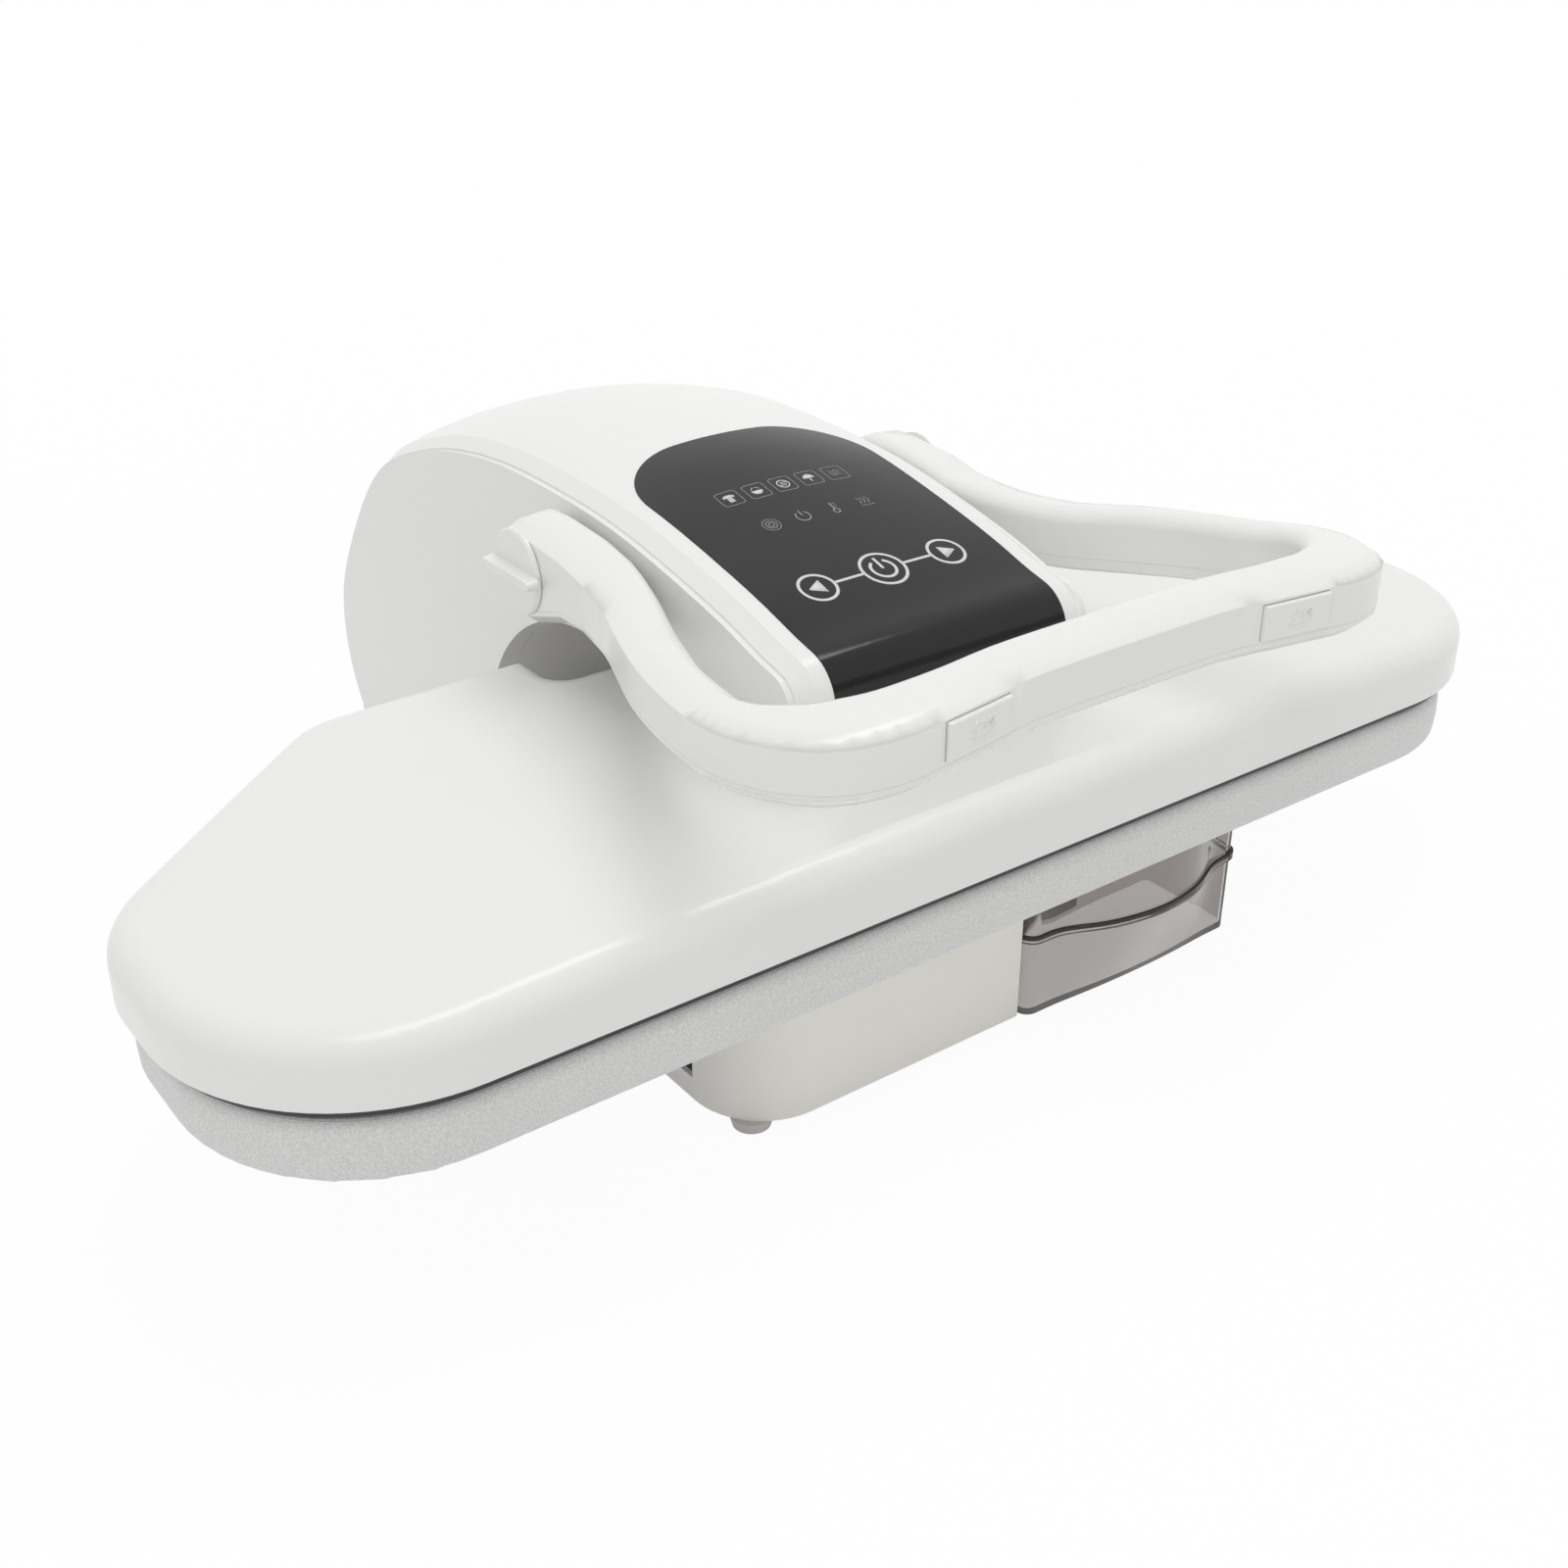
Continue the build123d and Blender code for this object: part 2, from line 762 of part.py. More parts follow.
def make_thermal_fuse():
    """Cut-out capsule in its saddle, on the steam chamber."""
    x = -chamber_length * sensor_share
    z = plate_top + chamber_height + element_radius
    capsule = rod(element_radius, (x - relay_size, chamber_y, z), (x + relay_size, chamber_y, z))
    saddle = block((x - element_radius, x + element_radius), (chamber_y - relay_size, chamber_y + relay_size),
                   (z - element_radius, z - element_radius + clip_thickness))
    return capsule + saddle


def hose(points):
    """Hose through a list of points, with its bends rounded."""
    path = FilletPolyline(*points, radius=hose_bend)
    place = Plane(origin=path @ 0, z_dir=path % 0)
    return sweep(place * (Circle(hose_radius) - Circle(hose_bore)), path=path)


def make_head_hose():
    """Steam hose from the union on the shaft, through the arm and down inside the shoe bracket."""
    return hose([(0, hinge_y, hinge_z + union_radius), (0, hinge_y, head_hose_rise), (0, *head_hose_shoulder),
                 (0, 0, head_hose_roof), (0, bracket_y, head_hose_roof),
                 (0, bracket_y, plate_top + chamber_height)])


def make_steam_union():
    """Swivel union of the steam line, running on the shaft."""
    return tube(union_radius, shaft_radius + running_gap, (-union_half_length, hinge_y, hinge_z),
                (union_half_length, hinge_y, hinge_z))


def between(rows, index, share):
    """A row at a share of the way to the next one, on a smooth curve through four neighbours."""
    four = [rows[min(max(place, 0), len(rows) - 1)] for place in range(index - 1, index + 3)]
    weights = (
        -share * (1 - share) ** 2 / 2,
        (2 - 5 * share ** 2 + 3 * share ** 3) / 2,
        share * (1 + 4 * share - 3 * share ** 2) / 2,
        -share ** 2 * (1 - share) / 2,
    )
    return tuple(sum(weight * value for weight, value in zip(weights, column)) for column in zip(*four))


def handle_stations():
    """Middle, heading, width, top and bottom of each slice of the handle's right half."""
    rows = []
    for x, y, width, top, height in handle_station_shares:
        rows.append((x * handle_half_width, y * reach, width * arm_width,
                     top * overall_height, height * bar_height))
    rows[-1] = (arm_inner_x + arm_width / 2, *rows[-1][1:])
    mirror_row = (-rows[1][0], *rows[1][1:])
    steps = range(slices_per_station)
    fine = [between([mirror_row, *rows], index, step / slices_per_station)
            for index in range(1, len(rows)) for step in steps]
    fine.append(rows[-1])
    points = [Vector(x, y) for x, y, *rest in fine]
    headings = [Vector(1, 0)]
    headings += [(after - before).normalized() for before, after in zip(points, points[2:])]
    headings += [Vector(0, 1)]
    stations = []
    for heading, (x, y, width, top, height) in zip(headings, fine):
        stations.append(((x, y), heading, width, top, top - height))
    return stations


def mirrored_stations(stations):
    """The same slices on the left, in order towards the middle of the bar."""
    left = []
    for (x, y), heading, width, top, bottom in reversed(stations[1:]):
        left.append(((-x, y), Vector(heading.X, -heading.Y), width, top, bottom))
    return left


def arm_end_stations():
    """Slices of the straight end of the arm, up to its rear end."""
    last = handle_stations()[-1]
    arm_x = arm_inner_x + arm_width / 2
    rows = [last]
    for y, top, bottom in arm_end_shares:
        place = (arm_x, handle_rear_y + y * arm_end_radius)
        levels = (pivot_z + top * arm_end_radius, pivot_z + bottom * arm_end_radius)
        rows.append((place, Vector(0, 1), arm_width, *levels))
    return rows


def station_plane(middle, heading):
    """Plane of a slice: its X runs inwards across the handle and its Y straight up."""
    x, y = middle
    return Plane(origin=(x, y, 0), x_dir=(-heading.Y, heading.X, 0), z_dir=(heading.X, heading.Y, 0))


def inner_round_points(half, top, radius):
    """Points round the inner upper corner of a slice, from the wall up to the top."""
    points = []
    for step in range(inner_round_steps + 1):
        angle = step / inner_round_steps * pi / 2
        points.append((half - radius + radius * cos(angle), top - radius + radius * sin(angle)))
    return points


def upper_slice(width, top, bottom):
    """Outer shape of the upper shell at one place."""
    half = width / 2
    seam = bottom + seam_height + shell_seam_gap
    crease = top - facet_drop
    return Polyline((-half, seam), (half, seam), *inner_round_points(half, top, inner_round),
                    (-half + facet_width, crease), (-half, crease - facet_height), close=True)


def upper_hollow_slice(width, top, bottom):
    """Hollow of the upper shell at one place."""
    half = width / 2 - thin_wall
    low = bottom + seam_height - wall
    crease = top - facet_drop - wall
    corner = inner_round_points(half, top - wall, inner_round - thin_wall)
    return Polyline((-half, low), (half, low), *corner, (-half + facet_width, crease),
                    (-half, crease - facet_height), close=True)


def lower_slice(width, top, bottom):
    """Outer shape of the lower shell at one place."""
    half = width / 2
    seam = bottom + seam_height
    return Polyline((-half, seam), (half, seam), (half, bottom + handle_edge), (half - handle_edge, bottom),
                    (-half + belly_edge, bottom), (-half, bottom + belly_edge), close=True)


def lower_hollow_slice(width, top, bottom):
    """Hollow of the lower shell at one place."""
    half = width / 2 - thin_wall
    floor = bottom + thin_wall
    high = bottom + seam_height + wall
    return Polyline((-half + belly_edge, floor), (half, floor), (half, high), (-half, high),
                    (-half, bottom + belly_edge + edge_round), close=True)


def core_slice(width, top, bottom):
    """Section of the steel core at one place."""
    outer = width / 2 - thin_wall - core_gap
    inner = outer - core_width
    low = bottom + thin_wall + core_gap
    high = low + core_height
    return Polyline((inner, low), (outer, low), (outer, high), (inner, high), close=True)


def handle_loft(stations, slice_shape):
    """One shell or hollow of the handle, run through its slices."""
    faces = []
    for middle, heading, width, top, bottom in stations:
        faces.append(station_plane(middle, heading) * make_face(slice_shape(width, top, bottom)))
    return loft(faces, ruled=True)


def arm_end(slice_shape):
    """The straight rear end of the right arm."""
    return handle_loft(arm_end_stations(), slice_shape)


def make_handle_upper_shell():
    """Upper shell: hollow bar and curved arms, solid ends with the pivot and knob bores."""
    curve = handle_stations()
    hollow = curve[:-1]
    shell = handle_loft(mirrored_stations(curve) + curve, upper_slice)
    shell -= handle_loft(mirrored_stations(hollow) + hollow, upper_hollow_slice)
    end = arm_end(upper_slice)
    end -= rod(pivot_bush_radius, *axle_line(arm_inner_x - overrun, knob_seat()))
    end -= rod(knob_stem_radius + running_gap, *axle_line(knob_seat() - wall, knob_seat() + arm_width))
    window = button_block(button_gap, thin_wall)
    for piece in both_sides(end):
        shell += piece
    for cut in both_sides(window):
        shell -= cut
    return shell


def knob_seat():
    """Where the pivot's bore ends and the knob's bore begins, along X."""
    return arm_inner_x + arm_width - knob_stem_length - lid_gap


def make_handle_lower_shell():
    """Lower shell: shallow tray under the bar and arms."""
    curve = handle_stations()
    hollow = curve[:-1]
    shell = handle_loft(mirrored_stations(curve) + curve, lower_slice)
    shell -= handle_loft(mirrored_stations(hollow) + hollow, lower_hollow_slice)
    for piece in both_sides(arm_end(lower_slice)):
        shell += piece
    return shell


def make_handle_core():
    """Steel strip that stiffens the handle, lying in its lower shell."""
    curve = handle_stations()[:-1]
    return handle_loft(mirrored_stations(curve) + curve, core_slice)


def button_block(gap, proud):
    """A steam button's block, its front following the bar, grown by a gap all round."""
    inner_x = button_inner_x - gap
    outer_x = button_inner_x + button_width + gap
    rear = button_front + button_depth + proud
    outline = Polyline((inner_x, button_front - proud), (inner_x, rear), (outer_x, rear),
                       (outer_x, button_front - button_slope_run - proud), close=True)
    half_height = button_height / 2 + gap
    return slab(outline, button_z - half_height, button_z + half_height)


def make_steam_button():
    """Right steam button."""
    button = button_block(0, 0)
    front = button.faces().sort_by(Axis.Y)[0]
    return fillet(front.edges(), button_round)


def make_microswitch():
    """Switch behind the right steam button, against the handle's core."""
    middle = button_inner_x + button_width / 2
    front = button_front + button_depth + button_travel + seat_gap
    return block((middle - switch_length / 2, middle + switch_length / 2), (front, front + switch_depth),
                 (button_z - switch_height / 2, button_z + switch_height / 2))


def make_pivot_bush():
    """Nylon bush in the right arm, running on the stub axle."""
    start, end = axle_line(arm_inner_x + seat_gap, arm_inner_x + seat_gap + pivot_bush_length)
    return tube(pivot_bush_radius - press_gap, shaft_radius + running_gap, start, end)


def make_lock_knob():
    """Right lock knob: disc with a finger fin, on a stem in the arm's end."""
    face = arm_inner_x + arm_width + lid_gap
    disc = rod(knob_radius, *axle_line(face, face + knob_thickness))
    disc = chamfer(disc.edges().sort_by(Axis.X)[-1], edge_round)
    fin_base = face + knob_thickness
    middle = Plane.YZ.offset(fin_base) * Pos(handle_rear_y, pivot_z)
    grip = extrude(middle * SlotOverall(knob_fin_length, knob_fin_thickness), amount=knob_fin_height,
                   taper=knob_fin_taper)
    return disc + grip + rod(knob_stem_radius, *axle_line(face - knob_stem_length, face))


def base_plan(inset, with_tail):
    """Plan of the base, drawn in by a distance, with or without the tail under the drum."""
    half = base_half_width - inset
    front = base_front + inset
    step_x = base_front_right - inset
    step_y = tank_bay_rear + inset
    rear = base_rear - inset
    tail = tongue_half_width - inset
    end = tail_rear - inset
    corner = base_corner_radius - inset
    rear_corner = corner / 2
    points = [(-half, front), (step_x, front), (step_x, step_y), (half, step_y), (half, rear)]
    radii = [corner, 0, 0, 0, rear_corner]
    if with_tail:
        points += [(tail, rear), (tail, end), (-tail, end), (-tail, rear)]
        radii += [0, 0, 0, 0]
    points += [(-half, rear)]
    radii += [rear_corner]
    return FilletPolyline(*points, radius=radii, close=True)


def pocket_block(inset, left):
    """Space of the storage pocket in the base's left side, from a place on its left."""
    right = -base_half_width + pocket_depth - inset
    return block((left, right), (pocket_front + inset, pocket_front + pocket_length - inset),
                 (pocket_bottom + inset, pocket_bottom + pocket_height - inset))


def make_base_shell():
    """Light grey tub, open below, with a channel-shaped tail under the drum."""
    tail_top = foot_height + tail_height
    shell = slab(base_plan(0, False), foot_height, base_height)
    shell += block((-tongue_half_width, tongue_half_width), (base_rear - overrun, tail_rear),
                   (foot_height, tail_top))
    shell -= slab(base_plan(thin_wall, False), 0, base_height - thin_wall)
    inner = tongue_half_width - thin_wall
    shell -= block((-inner, inner), (base_rear - overrun, base_rear + edge_round), (0, tail_top - thin_wall))
    shell -= block((-inner, inner), (base_rear, tail_rear - thin_wall), (0, tail_top + overrun))
    shell -= pocket_block(thin_wall, -base_half_width - overrun)
    shell -= valve_rod(valve_radius + seat_gap, -overrun, overrun)
    gland = (gland_x, base_rear - overrun, gland_z), (gland_x, base_rear + overrun, gland_z)
    return shell - rod(gland_radius, *gland)


def make_storage_pocket():
    """Liner of the storage pocket in the base's left side."""
    left = -base_half_width + thin_wall + seat_gap
    return pocket_block(0, left) - pocket_block(thin_wall, left - overrun)


def foot_places():
    """Places of the six feet."""
    side = base_half_width - foot_inset
    tail_side = tongue_half_width - foot_inset
    front = base_front + foot_inset
    middle = tank_bay_rear + foot_inset
    rear = base_rear - foot_inset
    end = tail_rear - foot_inset
    return [(-side, front), (side, middle), (-side, rear), (side, rear), (-tail_side, end), (tail_side, end)]


def make_rubber_feet():
    """Six round feet under the base."""
    feet = []
    for x, y in foot_places():
        feet.append(Pos(x, y, foot_height / 2) * Cone(foot_radius - foot_taper, foot_radius, foot_height))
    return Compound(children=[foot.solid() for foot in feet])


def screw_places():
    """Places of the screws through the base's bottom plate."""
    side = base_half_width - screw_inset
    rear = base_rear - screw_inset
    front = base_front + screw_inset
    middle = tank_bay_rear + screw_inset
    return [(-side, front), (0, front), (-side, rear), (side, rear), (0, rear), (side, middle)]


def make_base_bottom_plate():
    """Plate that closes the base from below, with the posts of the power card."""
    bottom = foot_height
    top = foot_height + thin_wall
    plate = slab(base_plan(thin_wall + lid_gap, True), bottom, top)
    for x, y in power_card_posts():
        plate += rod(card_post_radius, (x, y, top), (x, y, top + power_card_lift))
    for x, y in screw_places():
        plate -= rod(screw_shank_radius + running_gap, (x, y, bottom - overrun), (x, y, top + overrun))
    return plate


def make_base_screws():
    """Screws of the bottom plate."""
    screws = []
    for x, y in screw_places():
        low = foot_height - screw_head_height
        head = rod(screw_head_radius, (x, y, low), (x, y, foot_height))
        groove = screw_head_height / 2
        slot = block((x - screw_head_radius, x + screw_head_radius), (y - groove / 2, y + groove / 2),
                     (low - overrun, low + groove))
        shank = rod(screw_shank_radius, (x, y, foot_height), (x, y, foot_height + thin_wall))
        screws.append((head - slot + shank).solid())
    return Compound(children=screws)


def power_card_posts():
    """Places of the posts under the power card."""
    left = power_card_left + card_post_inset
    right = power_card_left + power_card_length - card_post_inset
    front = power_card_front + card_post_inset
    rear = power_card_front + power_card_depth - card_post_inset
    return [(x, y) for x in (left, right) for y in (front, rear)]


def make_power_board():
    """Power card with its transformer, capacitors and relay."""
    bottom = foot_height + thin_wall + power_card_lift
    top = bottom + board_card_thickness
    left = power_card_left
    right = left + power_card_length
    front = power_card_front
    rear = front + power_card_depth
    card = block((left, right), (front, rear), (bottom, top))
    size = transformer_size
    corner = left + capacitor_radius
    card += block((corner, corner + size), (rear - size - relay_size, rear - relay_size), (top, top + size))
    for step in range(capacitor_count):
        place = (right - 2 * capacitor_radius, front + capacitor_pitch * (step + 1))
        card += rod(capacitor_radius, (*place, top), (*place, top + capacitor_height))
    card += block((corner, corner + relay_size), (front + relay_size, front + 2 * relay_size),
                  (top, top + relay_size))
    return card


def make_base_frame():
    """Steel sheet that carries the hinge brackets."""
    half = tongue_half_width - thin_wall - lid_gap
    bottom = foot_height + thin_wall
    return block((-half, half), (frame_sheet_front, tail_rear - thin_wall - lid_gap),
                 (bottom, bottom + frame_sheet_thickness))


def make_hinge_bracket():
    """Right hinge bracket, standing on the base frame."""
    low = foot_height + thin_wall + frame_sheet_thickness
    rear = tail_rear - thin_wall - lid_gap
    corner = (Align.MIN, Align.MIN)
    foot = Pos(rear - bracket_depth, low) * Rectangle(bracket_depth, hinge_z - low, align=corner)
    face = foot + Pos(hinge_y, hinge_z) * Circle(shaft_radius + bracket_ring_wall)
    face -= Pos(hinge_y, hinge_z) * Circle(shaft_radius + press_gap)
    upright = side_slab(face, bracket_x, bracket_x + bracket_thickness)
    return upright + block((bracket_x - bracket_foot, bracket_x), (rear - bracket_depth, rear),
                           (low, low + bracket_thickness))


def make_hinge_shaft():
    """Steel shaft of the head's hinge."""
    return rod(shaft_radius, (-shaft_half_length, hinge_y, hinge_z), (shaft_half_length, hinge_y, hinge_z))


def make_shaft_clips():
    """Retaining rings outside the two bushes."""
    bush_end = frame_plate_x + frame_plate_thickness / 2 + bush_length / 2 + lid_gap
    right = tube(shaft_radius + bush_wall, shaft_radius + press_gap, (bush_end, hinge_y, hinge_z),
                 (bush_end + clip_thickness, hinge_y, hinge_z))
    return Compound(children=[right.solid(), mirror(right, about=Plane.YZ).solid()])


def make_hinge_spring():
    """Right balance spring, coiled round the shaft inside its bracket."""
    radius = shaft_radius + lid_gap + spring_wire / 2
    length = spring_turns * spring_pitch
    start = bracket_x - seat_gap - spring_wire / 2 - length
    coil = Helix(spring_pitch, length, radius, center=(start, hinge_y, hinge_z), direction=(1, 0, 0))
    wire = Plane(origin=coil @ 0, z_dir=coil % 0) * Circle(spring_wire / 2)
    return sweep(wire, path=coil, is_frenet=True)


def make_board_pan():
    """Tray under the pad."""
    return slab(board_plan(pan_inset), base_height, pan_top)


def make_board_pad():
    """Foam pad on the tray."""
    return slab(board_plan(pan_inset), pan_top, pad_top)


def make_board_cover():
    """Heat-reflecting cloth pulled over the pad and down round the tray's edge."""
    outside = slab(board_plan(0), base_height + cloth_skirt_lift, board_top)
    top_face = outside.faces().sort_by(Axis.Z)[-1]
    outside = fillet(top_face.edges(), cloth_thickness + pan_inset)
    return outside - slab(board_plan(pan_inset), 0, pad_top)


def tank_plan(grow, wave_share=1.0):
    """Plan of the water tank with its waved front, grown by a distance."""
    left = tank_left - grow
    right = tank_left + tank_length + grow
    rear = tank_rear + grow
    shoulder = tank_front + tank_wave - grow
    swell = tank_wave * wave_share
    wave = [(tank_left + x * tank_length, shoulder - depth * swell) for x, depth in wave_shares]
    points = [(left, shoulder), *wave, (right, shoulder)]
    front = Spline(*points, tangents=[(1, 0), (1, 0)])
    sides = Polyline((right, shoulder), (right, rear), (left, rear), (left, shoulder))
    face = make_face([*front.edges(), *sides.edges()])
    return fillet(face.vertices(), tank_corner_radius + grow)


def tank_slab(grow, bottom, top):
    """The tank's plan made a solid between two levels."""
    return Pos(0, 0, bottom) * extrude(tank_plan(grow), amount=top - bottom)


def tank_tub(grow, bottom):
    """Body of the tank's lower half, whose front flattens towards the bottom."""
    low = Pos(0, 0, bottom) * tank_plan(grow, tank_low_wave_share)
    high = Pos(0, 0, tank_split) * tank_plan(grow)
    return loft([low, high], ruled=True)


def make_tank_lower_shell():
    """Lower half of the clear tank, with its welding flange."""
    shell = tank_tub(-tank_flange, tank_bottom)
    shell += tank_slab(0, tank_split - flange_height / 2, tank_split)
    shell -= tank_tub(-tank_flange - tank_wall, tank_bottom + tank_wall)
    return shell - valve_rod(valve_radius - tank_wall, -overrun, overrun)


def make_tank_upper_shell():
    """Upper half of the clear tank, with its flange and the runner on its top."""
    top = tank_bottom + tank_height
    shell = tank_slab(-tank_flange, tank_split, top)
    shell += tank_slab(0, tank_split, tank_split + flange_height / 2)
    shell -= tank_slab(-tank_flange - tank_wall, tank_split - overrun, top - tank_wall)
    x_range = (tank_left + 2 * tank_corner_radius, tank_left + tank_length - 2 * tank_corner_radius)
    stem = runner_stem_width / 2
    head = runner_head_width / 2
    head_bottom = top + runner_stem_height
    shell += block(x_range, (runner_y() - stem, runner_y() + stem), (top, head_bottom))
    shell += block(x_range, (runner_y() - head, runner_y() + head),
                   (head_bottom, head_bottom + runner_head_height))
    return shell - cap_rod(tank_cap_radius - tank_wall, -overrun, overrun)


def runner_y():
    """Line of the tank's runner and rail along Y."""
    return (tank_front + tank_wave + tank_rear) / 2


def make_tank_rail():
    """Channel under the tray that the tank's runner slides in."""
    top = tank_bottom + tank_height
    head = runner_head_width / 2 + rail_gap
    stem = runner_stem_width / 2 + rail_gap
    low = top + rail_gap
    lip = top + runner_stem_height - rail_gap
    roof = top + runner_stem_height + runner_head_height + rail_gap
    x_range = (tank_left + tank_corner_radius, tank_left + tank_length - tank_corner_radius)
    through = (tank_left - overrun, tank_left + tank_length + overrun)
    rail = block(x_range, (runner_y() - head - thin_wall, runner_y() + head + thin_wall), (low, base_height))
    rail -= block(through, (runner_y() - head, runner_y() + head), (lip, roof))
    return rail - block(through, (runner_y() - stem, runner_y() + stem), (0, roof))


def valve_rod(radius, start, end):
    """Round bar along the valve's line, between distances from the tank's left face."""
    return rod(radius, (tank_left + start, runner_y(), valve_z), (tank_left + end, runner_y(), valve_z))


def cap_rod(radius, start, end):
    """Round bar along the filler cap's line, between distances from the tank's right wall."""
    x = tank_left + tank_length - tank_flange
    z = (tank_split + flange_height / 2 + tank_bottom + tank_height) / 2
    return rod(radius, (x + start, runner_y(), z), (x + end, runner_y(), z))


def make_tank_valve():
    """Outlet valve in the tank's left wall."""
    body = valve_rod(valve_radius, -valve_length, tank_flange)
    return body + valve_rod(valve_radius - tank_wall - press_gap, tank_flange, tank_flange + 2 * tank_wall)


def make_tank_cap():
    """Rubber filler cap in the tank's right wall."""
    plug = cap_rod(tank_cap_radius - tank_wall - press_gap, -tank_wall, 0)
    return plug + cap_rod(tank_cap_radius, 0, tank_cap_proud)


def make_valve_socket():
    """Socket in the base that the tank's valve enters."""
    wall_inside = base_front_right - thin_wall - tank_left
    outer = valve_rod(valve_radius + socket_wall, wall_inside - socket_length, wall_inside)
    return outer - valve_rod(valve_radius + seat_gap, wall_inside - socket_length + thin_wall, overrun)


def make_water_pump():
    """Solenoid pump, lying along X."""
    z = foot_height + thin_wall + pump_mount_height + pump_radius
    body = rod(pump_radius, (pump_x, pump_y, z), (pump_x + pump_length, pump_y, z))
    ends = rod(hose_radius, (pump_x - hose_bend, pump_y, z), (pump_x + pump_length + hose_bend, pump_y, z))
    return body + ends


def make_pump_mount():
    """Rubber cradle under the pump."""
    low = foot_height + thin_wall
    middle = pump_x + pump_length / 2
    half = pump_mount_length / 2
    side = pump_radius * cradle_share
    z = low + pump_mount_height + pump_radius
    cradle = block((middle - half, middle + half), (pump_y - side, pump_y + side), (low, z - pump_radius / 2))
    left = (middle - pump_length, pump_y, z)
    right = (middle + pump_length, pump_y, z)
    return cradle - rod(pump_radius, left, right)


def make_inlet_hose():
    """Hose from the valve socket to the pump."""
    start_x = base_front_right - thin_wall - socket_length
    z = foot_height + thin_wall + pump_mount_height + pump_radius
    turn_x = start_x - 2 * hose_bend
    return hose([(start_x, runner_y(), valve_z), (turn_x, runner_y(), valve_z),
                 (turn_x, pump_y - 2 * hose_bend, z), (start_x, pump_y, z),
                 (pump_x - hose_bend, pump_y, z)])


def make_outlet_hose():
    """Hose from the pump through the tail to the union on the hinge shaft."""
    start_x = pump_x + pump_length + hose_bend
    z = foot_height + thin_wall + pump_mount_height + pump_radius
    turn_x = start_x + hose_bend + hose_radius
    union_y = hinge_y - hose_radius
    low = foot_height + thin_wall + frame_sheet_thickness + hose_radius + lid_gap
    return hose([(start_x, pump_y, z), (turn_x, pump_y, z), (turn_x, side_hose_end, z),
                 (0, tail_hose_start, low), (0, union_y, low),
                 (0, union_y, hinge_z - union_radius - lid_gap)])


def make_cord_gland():
    """Cable gland in the base's rear wall."""
    start = base_rear - thin_wall
    body = rod(gland_radius - press_gap, (gland_x, start, gland_z), (gland_x, base_rear, gland_z))
    body += rod(gland_radius + thin_wall, (gland_x, base_rear, gland_z), (gland_x, base_rear + wall, gland_z))
    body += rod(gland_radius + thin_wall, (gland_x, start - wall, gland_z), (gland_x, start, gland_z))
    sleeve = (gland_x, base_rear + gland_length, gland_z)
    body += rod(gland_radius - moving_gap, (gland_x, base_rear, gland_z), sleeve)
    inside = (gland_x, base_rear - overrun, gland_z)
    outside = (gland_x, base_rear + overrun, gland_z)
    return body - rod(gland_bore, inside, outside)


paired_pieces = {
    "cheek": make_cheek,
    "frame_plate": make_frame_plate,
    "hinge_bush": make_hinge_bush,
    "handle_axle": make_handle_axle,
    "pivot_bush": make_pivot_bush,
    "lock_knob": make_lock_knob,
    "steam_button": make_steam_button,
    "microswitch": make_microswitch,
    "hinge_bracket": make_hinge_bracket,
    "hinge_spring": make_hinge_spring,
}

single_pieces = {
    "top_cover": make_top_cover,
    "control_panel": make_control_panel,
    "arm_bottom_cover": make_arm_bottom_cover,
    "control_board": make_control_board,
    "frame_crossbar": make_frame_crossbar,
    "shoe_bracket": make_shoe_bracket,
    "shoe_cover": make_shoe_cover,
    "heating_plate": make_heating_plate,
    "steam_chamber_lid": make_steam_chamber_lid,
    "heating_element": make_heating_element,
    "thermostat": make_thermostat,
    "thermal_fuse": make_thermal_fuse,
    "head_hose": make_head_hose,
    "steam_union": make_steam_union,
    "handle_upper_shell": make_handle_upper_shell,
    "handle_lower_shell": make_handle_lower_shell,
    "handle_core": make_handle_core,
    "base_shell": make_base_shell,
    "storage_pocket": make_storage_pocket,
    "base_bottom_plate": make_base_bottom_plate,
    "base_screws": make_base_screws,
    "rubber_feet": make_rubber_feet,
    "base_frame": make_base_frame,
    "hinge_shaft": make_hinge_shaft,
    "shaft_clips": make_shaft_clips,
    "board_pan": make_board_pan,
    "board_pad": make_board_pad,
    "board_cover": make_board_cover,
    "tank_lower_shell": make_tank_lower_shell,
    "tank_upper_shell": make_tank_upper_shell,
    "tank_rail": make_tank_rail,
    "tank_valve": make_tank_valve,
    "tank_cap": make_tank_cap,
    "valve_socket": make_valve_socket,
    "water_pump": make_water_pump,
    "pump_mount": make_pump_mount,
    "inlet_hose": make_inlet_hose,
    "outlet_hose": make_outlet_hose,
    "power_board": make_power_board,
    "cord_gland": make_cord_gland,
}

for name, make in single_pieces.items():
    save(name, make())
for name, make in paired_pieces.items():
    right, left = both_sides(make())
    save(f"{name}_right", right)
    save(f"{name}_left", left)
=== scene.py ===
"""Looks of the steam ironing press: studio, finishes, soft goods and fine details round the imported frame.

The press faces -Y and its right is +X. Every length is in metres and every piece sits in the frame's own
place, so nothing here is moved. The shader groups come first, then the finishes, the studio, and one class
for each sub-assembly. main() builds them in order.
"""

import json
import logging
import math
from dataclasses import dataclass, field
from enum import Enum
from typing import Iterable, Optional, Sequence

import bmesh
import bpy
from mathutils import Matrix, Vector
from mathutils.bvhtree import BVHTree

